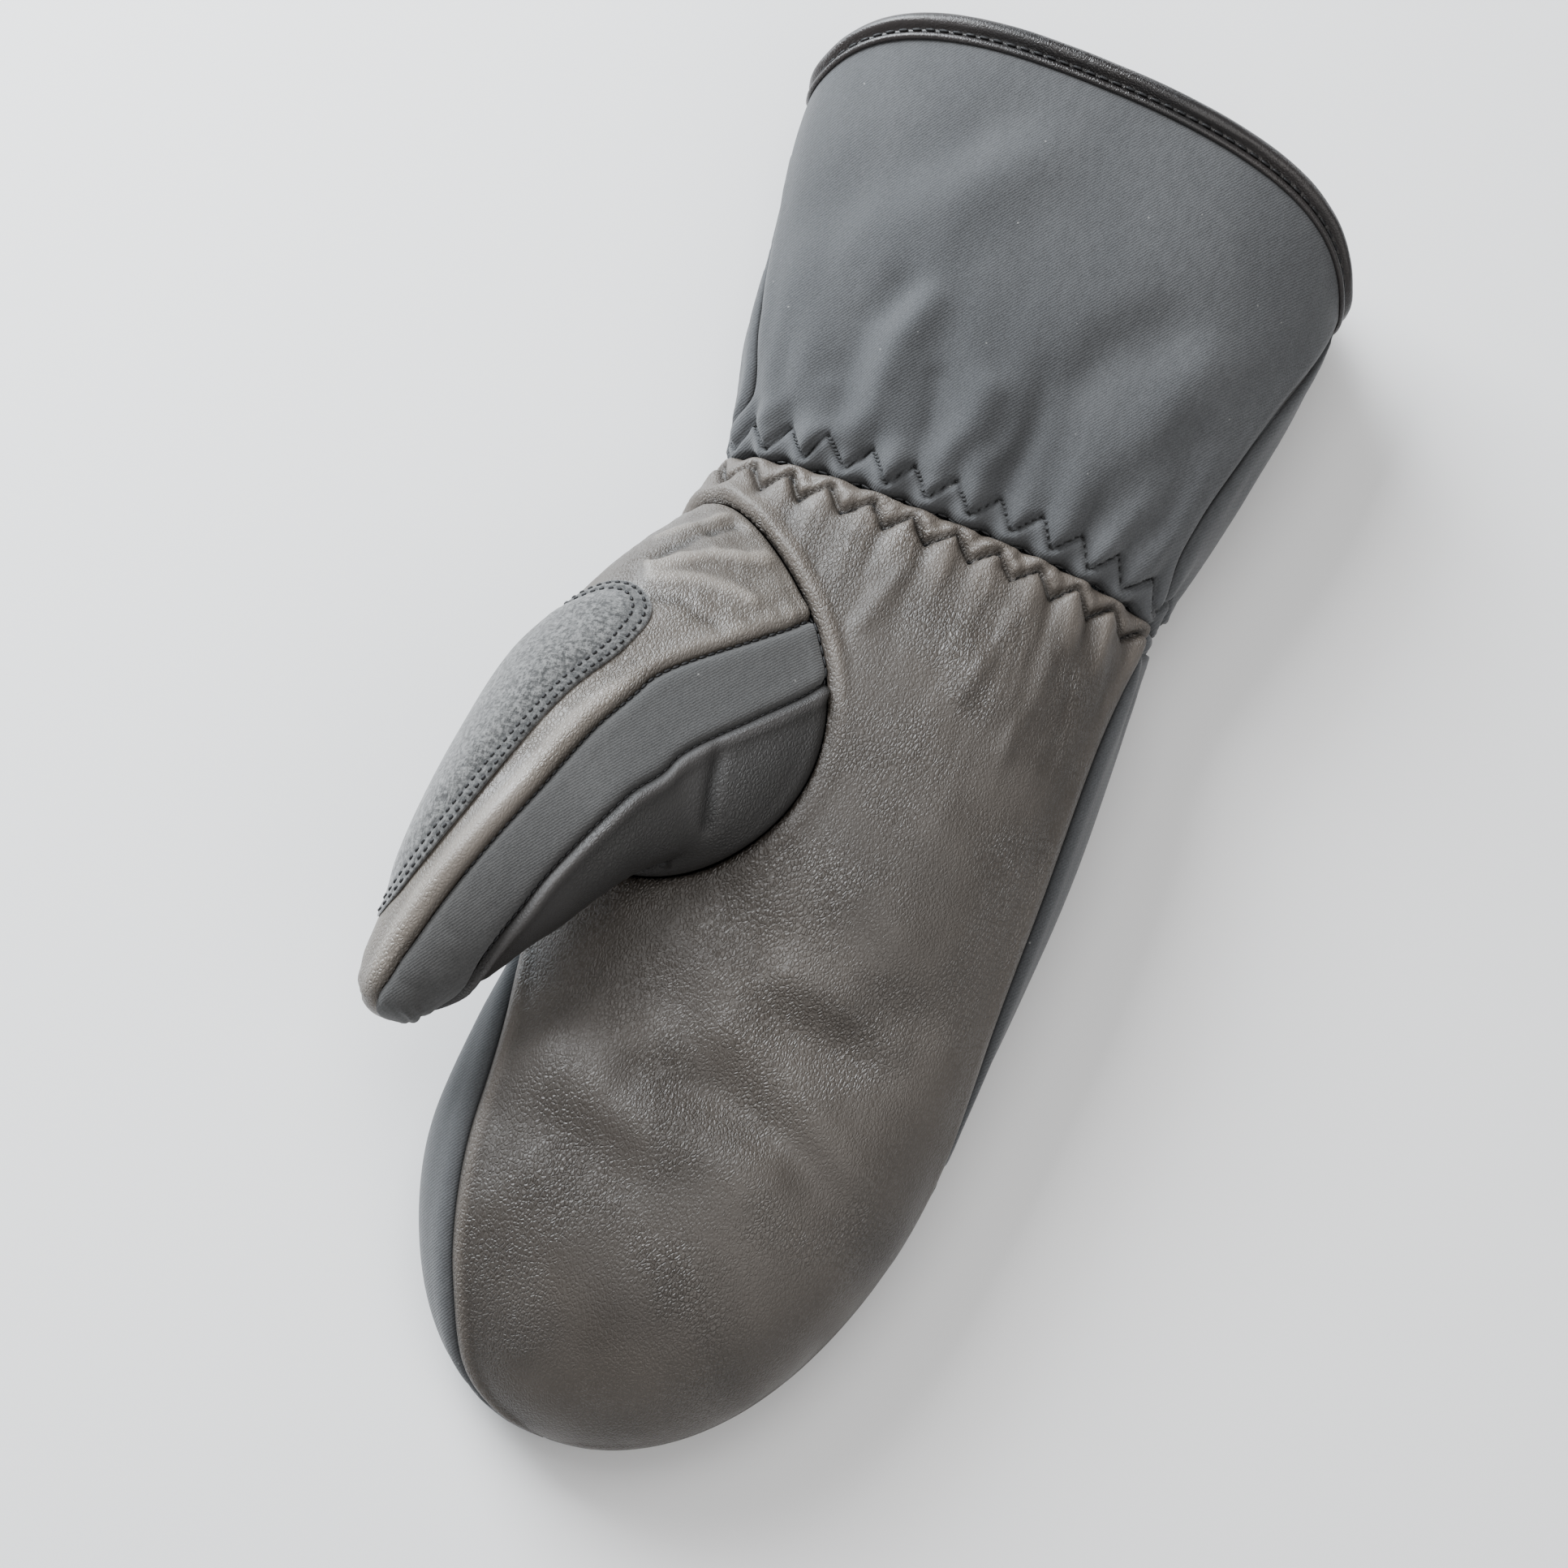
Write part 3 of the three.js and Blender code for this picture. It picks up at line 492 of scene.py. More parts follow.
def furrow(distance):
    """The dip over a seam's thread, 1 deep."""
    return hill(distance, 0, SEAM_HALF_WIDTH)


def seam_relief(distance, roll=SEAM_ROLL, depth=SEAM_DEPTH):
    """A turned seam: the edge rolls over and dips to the thread."""
    return roll * hill(distance, SEAM_ROLL_PLACE, 1.9) - depth * furrow(np.maximum(distance, 0))


def seam_angles(rows, at):
    return np.radians(along(rows, "little", at)), np.radians(along(rows, "thumb", at))


def panel_edges(rows, at, turn, around, palm):
    """Distances in mm from a point of a panel to its little-finger and its thumb-side seams."""
    little, thumb = seam_angles(rows, at)
    speed = length_of(around)
    if palm:
        return (turn - little) * speed, (thumb - turn) * speed
    return (little + WHOLE_TURN - turn) * speed, (turn - thumb) * speed


def hole_polar(at, turn):
    """Where a point of the hand lies round the thumb's hole: its angle there, and 1 at the edge."""
    lengthwise = (at - HOLE_AT) * HAND_LENGTH
    c = lengthwise / np.where(lengthwise >= 0, HOLE_TOWARD_CUFF, HOLE_TOWARD_TIP)
    s = (HOLE_TURN + HOLE_SKEW * c - np.degrees(turn)) / HOLE_SPAN
    return np.arctan2(s, c), np.hypot(c, s)


def hole_place(angle):
    """The place of a point on the edge of the thumb's hole, by its angle round it."""
    c, s = np.cos(angle), np.sin(angle)
    reach = np.where(c >= 0, HOLE_TOWARD_CUFF, HOLE_TOWARD_TIP)
    return HOLE_AT + reach * c / HAND_LENGTH, np.radians(HOLE_TURN - HOLE_SPAN * s + HOLE_SKEW * c)


def hole_distance(at, turn, around):
    """How far outside the thumb's hole a point of the palm lies, and how near the hole's cuff end."""
    angle, radius = hole_polar(at, turn)
    toward = np.where(np.cos(angle) >= 0, HOLE_TOWARD_CUFF, HOLE_TOWARD_TIP)
    speed = length_of(around)
    reach = np.hypot(toward * np.cos(angle), math.radians(HOLE_SPAN) * speed * np.sin(angle))
    return (radius - 1) * reach, smooth(np.cos(angle), -0.2, 0.9)


def palm_dents(x, distance):
    depth = 0
    for place, across, turn, length, width, deep in PALM_DENTS:
        c, s = math.cos(math.radians(turn)), math.sin(math.radians(turn))
        dx = x / PALM_WIDTH - across
        dy = (distance - place * HAND_LENGTH) / PALM_WIDTH
        depth += deep * DENT_DEPTH * np.exp(
            -(((dx * c + dy * s) / length) ** 2) - ((dy * c - dx * s) / width) ** 2)
    return depth


def hand_relief(at, turn, palm):
    """Heights of the hand's soft and fine relief over its plain surface."""
    base = hand_base(at, turn)
    _, around = slopes(hand_base, at, turn, ALONG_STEP * 2, 1)
    past_tip = at * HAND_LENGTH
    distance = HAND_LENGTH - past_tip
    facing = np.maximum(np.sin(turn), 0) ** 2
    phase = tooth_phase(turn)
    to_little, to_thumb = panel_edges(HAND, at, turn, around, palm)
    calm = smooth(np.minimum(np.minimum(to_little, to_thumb), distance), 0, SEAM_CALM)
    off, top = hole_distance(at, turn, around)
    clear = smooth(off, 0, SEAM_CALM) if palm else 1.0
    fine = tooth_relief(turn, distance, PALM_TEETH) * clear
    fine -= SEAM_DEPTH * furrow(distance)
    fine += seam_relief(to_little) + seam_relief(to_thumb, THUMB_SIDE_ROLL if palm else SEAM_ROLL)
    soft = gathers(phase, distance, PALM_GATHERS) * clear
    wrinkles = calm * clear * sum(ground(phase, distance, row) for row in WRINKLES)
    if palm:
        band = np.exp(-((distance / BAND_WIDTH) ** 4)) * smooth(distance, 0, 1.5)
        fine += facing * band * ground(phase, distance, BAND_WRINKLES)
        soft -= calm * facing * palm_dents(base[..., 0], past_tip)
        uneven = facing * folds_at(base, PALM_SOFT_FOLDS)
        for height, width, length, seed in PALM_GROUND:
            uneven += height * noise(base[..., 0] / width, base[..., 1] / length, seed)
        soft += calm * clear * uneven
        right = smooth(base[..., 0], -10, 35)
        reach = WRINKLE_REACH["palm_left"] * (1 - right) + WRINKLE_REACH["palm_right"] * right
        fine += WRINKLE_HEIGHT["palm"] * wrinkles * hill(distance, 0, reach)
        fine += (HOLE_ROLL["under"] + HOLE_ROLL["top"] * top) * hill(off, SEAM_ROLL_PLACE, 2.1)
        fine -= (HOLE_ROLL["dip_under"] + HOLE_ROLL["dip_top"] * top) * SEAM_DEPTH * furrow(off)
    else:
        fine += WRINKLE_HEIGHT["back"] * wrinkles * hill(distance, 0, WRINKLE_REACH["back"])
        soft += calm * ground(phase, distance, BACK_GROUND)
        soft -= calm * creases(phase, distance, BACK_CREASES)
    # The rows of points meet in the fingertip, so the relief fades there.
    return soft * smooth(past_tip, 0, TIP_CALM), fine * np.minimum(1, past_tip / 1.5 + 0.2)


def cuff_relief(at, turn, palm):
    """Heights of the cuff's folds, puckers and seams over its plain surface."""
    distance = at * rim_reach(turn)
    _, around = slopes(cuff_base, at, turn)
    little, thumb = seam_angles(CUFF, at)
    fine = tooth_relief(turn, distance, CUFF_TEETH)
    fine -= SEAM_DEPTH * furrow(distance)
    to_little, to_thumb = panel_edges(CUFF, at, turn, around, palm)
    from_rim = smooth(rim_reach(turn) - distance, BINDING_ROLL, BINDING_ROLL + SEAM_CALM)
    fine += (seam_relief(to_little) + seam_relief(to_thumb)) * from_rim
    calm = smooth(np.minimum(np.minimum(to_little, to_thumb), distance), 0, SEAM_CALM)
    phase = tooth_phase(turn)
    drift = ground(phase, distance, CUFF_DRIFT) * smooth(distance, 5, 20)
    soft = gathers(phase + drift, distance, CUFF_GATHERS)
    swells = hill(distance, *CUFF_SWELL_BAND) * ground(phase + drift, distance, CUFF_SWELLS)
    swells += np.exp(-distance / CUFF_PUCKER_REACH) * ground(phase, distance, CUFF_PUCKERS)
    soft += swells * smooth(distance, 0, GATHER_START)
    soft += smooth(distance, 5, 30) * ground(phase, distance, CUFF_GROUND)
    if palm:
        share = (turn - little) / (thumb - little)
        shown = calm * np.maximum(np.sin(turn), 0)
        base = cuff_base(at, turn)
        soft += shown * folds_at(base, CUFF_SOFT_FOLDS)
        ramp = np.minimum(1, distance / FOLD_START)
        for across, shift, reach, width, height in CUFF_FOLDS:
            off = (share - across - shift * at) / width
            soft += shown * height * FOLD_HEIGHT * ramp * np.exp(-(off**2) - (at / reach) ** 2)
        off = (share - CUFF_HOLLOW["across"]) / CUFF_HOLLOW["width"]
        up = (at - CUFF_HOLLOW["along"]) / CUFF_HOLLOW["length"]
        soft -= shown * CUFF_HOLLOW["depth"] * FOLD_HEIGHT * np.exp(-(off**2) - up**2)
    else:
        soft -= calm * creases(phase + drift, distance, CUFF_CREASES)
    return soft, fine


def seam_wave(turn, distance):
    """The wrist seam wavers lengthwise with the teeth on both sides of it."""
    return SEAM_WAVE * np.cos(WHOLE_TURN * tooth_phase(turn)) * np.exp(-distance / 4)


def raised(surface, at, turn, height, lowest=None, highest=None):
    """Points of a surface, moved out along its normal."""
    lengthwise, around = slopes(surface, at, turn, lowest, highest)
    return surface(at, turn) + unit(np.cross(lengthwise, around)) * height[..., None]


def on_floor(points):
    """The same points, with none below the floor."""
    points[..., 2] = np.maximum(points[..., 2], 0)
    return points


def hand_surface(at, turn, lift=0.0, palm=True):
    at, turn = places(at, turn)
    soft, fine = hand_relief(at, turn, palm)
    points = raised(hand_base, at, turn, soft + fine + lift, ALONG_STEP * 2, 1)
    points[..., 1] += seam_wave(turn, (1 - at) * HAND_LENGTH)
    return on_floor(points)


def cuff_surface(at, turn, lift=0.0, palm=True):
    at, turn = places(at, turn)
    soft, fine = cuff_relief(at, turn, palm)
    points = raised(cuff_base, at, turn, soft + fine + lift)
    points[..., 1] += seam_wave(turn, at * rim_reach(turn))
    return on_floor(points)


# The thumb. Its base lies on the edge of its hole, and its stations are placed from the hole's middle.
thumb_root = hand_base(HOLE_AT, math.radians(HOLE_TURN))
root_distance = HOLE_AT * HAND_LENGTH
thumb_root[2] -= palm_dents(thumb_root[0], root_distance) * math.sin(math.radians(HOLE_TURN)) ** 2


def station_point(at, turn):
    value = {key: along(THUMB, key, at) for key in THUMB if key != "at"}
    outer_x, outer_y = -value["outer_out"] * THUMB_SPREAD, -value["outer_down"] * THUMB_LENGTH
    inner_x, inner_y = -value["inner_out"] * THUMB_SPREAD, -value["inner_down"] * THUMB_LENGTH
    round_share = THUMB_TIP_ROUND / THUMB_LENGTH
    past = np.clip((at - 1 + round_share) / round_share, 0, 1)
    closing = (1 - past**SWELL_TIP) ** (1 / SWELL_TIP)
    sideways = swell(np.cos(turn), SWELL_THUMB) * closing / 2
    above = np.where(np.sin(turn) >= 0, value["above"], value["below"])
    upward = swell(np.sin(turn), SWELL_THUMB) * closing * THUMB_THICKNESS * above
    lean = np.radians(value["lean"])
    return thumb_root + np.stack([
        (outer_x + inner_x) / 2 + (outer_x - inner_x) * sideways + np.sin(lean) * upward,
        (outer_y + inner_y) / 2 + (outer_y - inner_y) * sideways,
        value["lift"] * THUMB_THICKNESS + np.cos(lean) * upward,
    ], -1)


def thumb_base(at, turn):
    """The thumb's plain surface, from the edge of its hole to its tip."""
    at, turn = places(at, turn)
    join = THUMB["at"][0]
    place, hole_turn = hole_place(turn)
    edge = hand_base(place, hole_turn)
    edge[..., 2] -= palm_dents(edge[..., 0], place * HAND_LENGTH) * np.sin(hole_turn) ** 2
    lengthwise, around = slopes(hand_base, place, hole_turn)
    normal = unit(np.cross(lengthwise, around))
    start = np.full_like(at, join)
    station = station_point(start, turn)
    arriving = (station_point(start + ALONG_STEP, turn) - station) * join / ALONG_STEP
    leaving = normal * THUMB_BASE_LIFT + (station - edge) * THUMB_BASE_SLIDE
    u = (np.clip(at, 0, join) / join)[..., None]
    lower = curve(u, edge, leaving, station, arriving)
    return np.where((at < join)[..., None], lower, station_point(np.maximum(at, join), turn))


def thumb_seam(name, at):
    return np.radians(along(THUMB_SEAMS, name, at))


def thumb_ground(turn, from_base, row):
    height, hills, length, seed = row
    return height * noise(turn * hills, from_base / length, seed)


def roll_beside(distance, row):
    height, place, width = row
    return height * hill(distance, place, width)


def thumb_relief(at, turn, piece):
    """Heights of the thumb's soft and fine relief over its plain surface."""
    lengthwise, around = slopes(thumb_base, at, turn, ALONG_STEP, 1 - ALONG_STEP)
    speed = length_of(around)
    from_base = at * length_of(lengthwise)
    fine = seam_relief(from_base, THUMB_ROLLS["base"], THUMB_ROLLS["base_dip"])
    outer, inner = thumb_seam("outer", at), thumb_seam("inner", at)
    closing = smooth(1 - at, 0, 0.03)
    if piece == "strip":
        fine += seam_relief((turn - outer) * speed, THUMB_ROLLS["strip"]) * closing
        fine += seam_relief((inner - turn) * speed, THUMB_ROLLS["strip"]) * closing
    elif piece == "outer":
        from_strip = (outer - turn) * speed
        fold = smooth(at, 0.2, 0.4) * smooth(1 - at, 0.02, 0.2)
        roll = fold * roll_beside(from_strip, OUTER_ROLL)
        fine += (seam_relief(from_strip, THUMB_ROLLS["outer"]) + roll) * closing
        wrinkle = sum(thumb_ground(turn, from_base, row) for row in THUMB_WRINKLES)
        wrinkle = wrinkle * hill(from_base, 0, WRINKLE_REACH["thumb"]) * smooth(from_base, 0, 3)
        fine += WRINKLE_HEIGHT["thumb"] * wrinkle
    else:
        from_strip = (turn - inner) * speed
        roll = roll_beside(from_strip, INNER_ROLL)
        fine += (seam_relief(from_strip, THUMB_ROLLS["inner"]) + roll) * closing
    base = thumb_base(at, turn)
    soft = thumb_ground(turn, from_base, THUMB_SWELL) * closing * smooth(from_base, 0, SEAM_CALM)
    fine += folds_at(base, THUMB_SOFT_FOLDS) * smooth(from_base, 0, 4)
    return soft, fine


def thumb_surface(at, turn, lift=0.0, piece="outer"):
    at, turn = places(at, turn)
    soft, fine = thumb_relief(at, turn, piece)
    return raised(thumb_base, at, turn, soft + fine + lift, ALONG_STEP, 1 - ALONG_STEP)


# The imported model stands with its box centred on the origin, so everything moves with its fingertip.
corners = np.array([v.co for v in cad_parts["palm_panel"].data.vertices]) / MM
fingertip = corners[corners[:, 1].argmin()]
SHIFT = np.array([fingertip[0] - FINGERTIP_SHIFT, fingertip[1] - FINGERTIP_Y, 0.0])


def placed(name, data):
    made = bpy.data.objects.new(name, data)
    bpy.context.scene.collection.objects.link(made)
    return made


def mesh_object(name, points, faces, ridges=None):
    """A smooth mesh object from points in mm and an array of triangles or quads."""
    mesh = bpy.data.meshes.new(name)
    points = (points.reshape(-1, 3) + SHIFT) * MM
    faces = np.asarray(faces)
    mesh.vertices.add(len(points))
    mesh.vertices.foreach_set("co", points.astype(np.float32).ravel())
    mesh.loops.add(faces.size)
    mesh.loops.foreach_set("vertex_index", faces.astype(np.int32).ravel())
    mesh.polygons.add(len(faces))
    mesh.polygons.foreach_set("loop_start", np.arange(0, faces.size, faces.shape[1], dtype=np.int32))
    mesh.polygons.foreach_set("use_smooth", np.ones(len(faces), bool))
    mesh.update(calc_edges=True)
    mesh.validate()
    if ridges is not None:
        attribute = mesh.attributes.new("ridge", "FLOAT", "POINT")
        attribute.data.foreach_set("value", ridges.astype(np.float32).ravel())
    return placed(name, mesh)


def grid_faces(rows, columns, closed=False):
    """Quads of a grid of points. A closed grid's last column joins its first."""
    i, j = np.meshgrid(np.arange(rows - 1), np.arange(columns if closed else columns - 1), indexing="ij")
    k = (j + 1) % columns
    quads = [i * columns + j, (i + 1) * columns + j, (i + 1) * columns + k, i * columns + k]
    return np.stack(quads, -1).reshape(-1, 4)


def even_rows(surface, start, end, spacing, turns, crowd=1.0):
    """Places along a surface, evenly apart where its rows lie widest apart, or crowded to its end."""
    fine = start + (end - start) * np.linspace(0, 1, 3000) ** 2
    lines = surface(fine[:, None], turns[None, :])
    steps = length_of(np.diff(lines, axis=0)).max(axis=1)
    arcs = np.concatenate([[0], np.cumsum(steps)])
    count = int(arcs[-1] / spacing) + 1
    shares = 1 - np.linspace(1, 0, count + 1) ** crowd
    return np.interp(shares * arcs[-1], arcs, fine)


def even_shares(surface, at, start, end, spacing):
    """Shares from one seam to the other that lie evenly apart along one row."""
    fine = np.linspace(0, 1, 1500)
    arcs = arcs_along(surface(at, start + (end - start) * fine))
    count = int(arcs[-1] / spacing) + 1
    return np.interp(np.linspace(0, arcs[-1], count + 1), arcs, fine)


def wall(made, thickness=WALL):
    """Gives an open sheet its thickness, inward from the outer side."""
    thick = made.modifiers.new("wall", "SOLIDIFY")
    thick.thickness = thickness * MM
    thick.offset = -1
    thick.use_rim = True
    return made


def panel_grid(surface, rows, start, end, spacing, even_at=0.5):
    """The places of a panel's points, evenly apart from seam to seam along one of its rows."""
    row = np.argmin(np.abs(rows - even_at))
    shares = even_shares(surface, rows[row], start[row], end[row], spacing)
    return rows[:, None] + 0 * shares, start[:, None] + (end - start)[:, None] * shares


def ridge_of(fine):
    return np.clip(fine, -1.2, 1.2)


def hand_panel(name, palm, spacing):
    rows = even_rows(hand_base, 1e-5, 1.0, spacing, np.radians([0, 90, 180, 270]), 1.2)
    little, thumb = seam_angles(HAND, rows)
    start, end = (little, thumb) if palm else (thumb, little + WHOLE_TURN)
    at, turn = panel_grid(hand_base, rows, start, end, spacing * (0.8 if palm else 1.0))
    faces = grid_faces(*at.shape)
    if palm:
        angle, radius = hole_polar(at, turn)
        inside = (radius < 1).ravel()
        drop = inside[faces].sum(axis=1) > 2
        edge = np.zeros(at.size, bool)
        edge[np.unique(faces[drop])] = True
        kept = np.zeros(at.size, bool)
        kept[np.unique(faces[~drop])] = True
        snap = (edge & kept).reshape(at.shape) | (inside & kept).reshape(at.shape)
        place, hole_turn = hole_place(angle)
        at, turn = np.where(snap, place, at), np.where(snap, hole_turn, turn)
        faces = faces[~drop]
    _, fine = hand_relief(at, turn, palm)
    points = hand_surface(at, turn, palm=palm)
    used, packed = np.unique(faces, return_inverse=True)
    points = points.reshape(-1, 3)[used]
    return wall(mesh_object(name, points, packed.reshape(faces.shape), ridge_of(fine).ravel()[used]))


def cuff_panel(name, palm, spacing):
    rows = np.linspace(0, 1, int((CUFF_LENGTH + HEM_RISE) / spacing) + 6) ** CUFF_CROWDING
    little, thumb = seam_angles(CUFF, rows)
    start, end = (little, thumb) if palm else (thumb, little + WHOLE_TURN)
    at, turn = panel_grid(cuff_base, rows, start, end, spacing, 0.5**CUFF_CROWDING)
    at = at * (1 - (BINDING_ROLL - BINDING_OVERLAP) / rim_reach(turn))
    _, fine = cuff_relief(at, turn, palm)
    return wall(mesh_object(name, cuff_surface(at, turn, palm=palm), grid_faces(*at.shape), ridge_of(fine)))


def relaxed(points, share, times):
    """Evens out a grid of points where the share is more than 0. Its borders stay."""
    for _ in range(times):
        middle = (points[:-2, 1:-1] + points[2:, 1:-1] + points[1:-1, :-2] + points[1:-1, 2:]) / 4
        points[1:-1, 1:-1] += share[1:-1, 1:-1, None] * (middle - points[1:-1, 1:-1])
    return points


def thumb_panel(name, piece, spacing):
    last = INNER_PANEL_END if piece == "inner" else 1 - 1e-6
    rows = 1 - even_rows(lambda at, turn: thumb_base(1 - at, turn), 1 - last, 1.0, spacing,
                         np.radians([0, 60, 120, 180, 270]))[::-1]
    rows = np.clip(rows, 0, last)
    outer, inner = thumb_seam("outer", rows), thumb_seam("inner", rows)
    hidden = np.full_like(rows, math.radians(HIDDEN_SEAM))
    start, end = {
        "outer": (hidden - WHOLE_TURN, outer),
        "strip": (outer, inner),
        "inner": (inner, hidden),
    }[piece]
    at, turn = panel_grid(thumb_base, rows, start, end, spacing, 0.85 if piece == "strip" else 0.5)
    _, fine = thumb_relief(at, turn, piece)
    points = thumb_surface(at, turn, piece=piece)
    toward = np.cos(turn - math.radians(CROTCH["turn"]))
    pinch = CROTCH["share"] * hill(at, CROTCH["at"], CROTCH["reach"]) * smooth(toward, 0.45, 0.8)
    points = relaxed(points, pinch, CROTCH["times"])
    return wall(mesh_object(name, points, grid_faces(*at.shape), ridge_of(fine)))


# The patch: its border is sewn down flat, and its middle stands a little fuller. The rough half
# length and width set only how many points it has.
PATCH_WALL = 0.9
PATCH_LIFT = 0.5
PATCH_RISE = 0.9
PATCH_BORDER = 3.6
PATCH_STITCH_ROWS = (1.1, 2.9)
PATCH_HALF_LENGTH = 45
PATCH_WIDTH = 34
PATCH_HALF = (PATCH["end"] - PATCH["start"]) / 2
PATCH_REACH = math.radians(PATCH["top"] - PATCH["under"]) / 2


def patch_width(place):
    """The patch's half width at a place from -1 to 1 along it, as a share of its widest."""
    return np.clip(1 - np.abs(place) ** PATCH["end_fullness"], 0, 1) ** (1 / PATCH["side_fullness"])


def patch_place(place, off):
    """A point of the patch from its place along (-1 to 1) and its share of the widest half width."""
    lean = PATCH["lean"] * np.maximum(0, -place) ** 3
    centre = np.radians((PATCH["top"] + PATCH["under"]) / 2 + lean)
    return (PATCH["start"] + PATCH["end"]) / 2 + PATCH_HALF * place, centre + PATCH_REACH * off


def patch_edge(place, off):
    """The distance in mm from a point of the patch to its edge, near enough for its border."""
    at, turn = patch_place(place, off)
    lengthwise, around = slopes(thumb_base, at, turn)
    sideways = (patch_width(place) - np.abs(off)) * PATCH_REACH * length_of(around)
    longest = np.clip(1 - np.abs(off) ** PATCH["side_fullness"], 0, 1) ** (1 / PATCH["end_fullness"])
    endways = (longest - np.abs(place)) * PATCH_HALF * length_of(lengthwise)
    sideways, endways = np.maximum(sideways, 1e-3), np.maximum(endways, 1e-3)
    return sideways * endways / np.hypot(sideways, endways)


def patch_surface(place, off, lift=0.0):
    place, off = np.broadcast_arrays(place, off)
    edge = patch_edge(place, off)
    height = PATCH_LIFT + 0.5 * (1 - np.exp(-edge / 0.4)) + PATCH_RISE * smooth(edge, PATCH_BORDER - 0.6, 7)
    for row in PATCH_STITCH_ROWS:
        height -= 0.25 * hill(edge, row, 0.5)
    at, turn = patch_place(place, off)
    return raised(thumb_base, at, turn, height + lift)


def patch_piece(name, spacing):
    steps = np.sin(np.linspace(-1, 1, 2 * int(PATCH_HALF_LENGTH / spacing)) * math.pi / 2) * 0.9995
    across = np.linspace(-1, 1, int(PATCH_WIDTH / spacing))
    place = steps[:, None] + 0 * across[None, :]
    off = patch_width(place) * across[None, :]
    edge = patch_edge(place, off)
    # The sunk border is marked for the felt's painted shade.
    ridge = smooth(edge, PATCH_BORDER - 0.6, 5) - 1
    made = mesh_object(name, patch_surface(place, off), grid_faces(*place.shape), ridge)
    return wall(made, PATCH_WALL)


# The binding's cross-section: distances outward from the cuff's surface, and past the rim.
BINDING_PROFILE = np.array([
    (-2.30, -5.2), (-2.60, -3.8), (-2.50, -2.2), (-2.00, -0.9), (-1.10, -0.15), (-0.30, 0.0),
    (0.60, -0.3), (1.35, -1.0), (1.75, -1.9), (1.70, -2.7), (1.30, -3.4), (0.70, -3.9),
    (0.35, -4.3), (0.25, -4.7), (0.35, -5.1), (0.85, -5.4), (1.15, -5.8), (1.20, -6.3),
    (0.95, -6.8), (0.40, -7.0), (0.10, -6.6), (0.08, -5.8), (-0.10, -4.9), (-0.60, -4.5), (-1.60, -4.6),
])
GROOVE_PLACE = (0.35, -4.7)


def closed_curve(points, count):
    """A smooth closed curve through points, in even steps of its parameter."""
    k = np.linspace(0, len(points), count, endpoint=False)
    i, t = np.floor(k).astype(int), (k % 1)[:, None]
    p0, p1, p2, p3 = (points[(i + step) % len(points)] for step in (-1, 0, 1, 2))
    return 0.5 * (2 * p1 + (p2 - p0) * t + (2 * p0 - 5 * p1 + 4 * p2 - p3) * t**2
                  + (3 * p1 - p0 - 3 * p2 + p3) * t**3)


def rim_point(turn, out, up):
    """A point of the binding, from the cuff's own surface at the rim."""
    at = 1 + up / rim_reach(turn)
    soft, _ = cuff_relief(at, turn, True)
    return on_floor(raised(cuff_base, at, turn, out + 0.5 * soft))


def binding_piece(name, steps, around):
    turns = np.linspace(0, WHOLE_TURN, steps, endpoint=False)
    profile = closed_curve(BINDING_PROFILE, around)
    out = profile[:, 0][:, None] + 0 * turns
    up = profile[:, 1][:, None] + 0 * turns
    out = out + 0.12 * noise(turns * 9, up * 0.8, 51) * smooth(up, -4.5, -3.5)
    points = rim_point(0 * out + turns, out, up)
    faces = grid_faces(around + 1, steps, closed=True)
    faces = faces % (around * steps)
    # The stitched groove is marked as sunk, for the leather's painted shade.
    ridge = -hill(up, GROOVE_PLACE[1], 0.7) * (out > 0)
    return mesh_object(name, points, faces, ridge)


def capsule(sides, rings):
    """A rounded bar along X with length and width 1, as points and quads."""
    angle = np.linspace(0.02, 0.98, rings) * math.pi
    turn = np.linspace(0, WHOLE_TURN, sides, endpoint=False)
    radius = np.sin(angle) ** 0.6
    points = np.stack([
        -np.cos(angle)[:, None] + 0 * turn,
        radius[:, None] * np.cos(turn),
        radius[:, None] * np.sin(turn),
    ], -1) / 2
    return points.reshape(-1, 3), grid_faces(rings, sides, closed=True)


def stitches(name, path, pitch, length, width, lift, start, end):
    """Thread bars laid end to end along a path, which gives points for shares of its length."""
    fine = np.linspace(start, end, 4000)
    arcs = arcs_along(path(fine, 0.0))
    count = max(int(round(arcs[-1] / pitch)), 1)
    centres = (np.arange(count) + 0.5) * arcs[-1] / count
    before = np.interp(centres - length / 2, arcs, fine)
    after = np.interp(centres + length / 2, arcs, fine)
    middle = np.interp(centres, arcs, fine)
    direction = unit(path(after, lift) - path(before, lift))
    upward = unit(path(middle, lift + 1) - path(middle, lift))
    side = unit(np.cross(upward, direction))
    upward = np.cross(direction, side)
    centre = (path(after, lift) + path(before, lift) + path(middle, lift)) / 3
    bar, quads = capsule(8, 7)
    points = (centre[:, None] + bar[None, :, :1] * length * direction[:, None]
              + bar[None, :, 1:2] * width * side[:, None] + bar[None, :, 2:] * width * upward[:, None])
    faces = (quads[None] + np.arange(count)[:, None, None] * len(bar)).reshape(-1, 4)
    return mesh_object(name, points, faces)


def node(tree, kind, inputs=None, **settings):
    """A shader node with its settings, and its inputs set to numbers or linked to other nodes."""
    made = tree.nodes.new(kind)
    for key, value in settings.items():
        setattr(made, key, value)
    for key, value in (inputs or {}).items():
        if isinstance(value, bpy.types.NodeSocket):
            tree.links.new(value, made.inputs[key])
        else:
            made.inputs[key].default_value = value
    return made


def product(tree, a, b):
    return node(tree, "ShaderNodeMath", {0: a, 1: b}, operation="MULTIPLY").outputs[0]


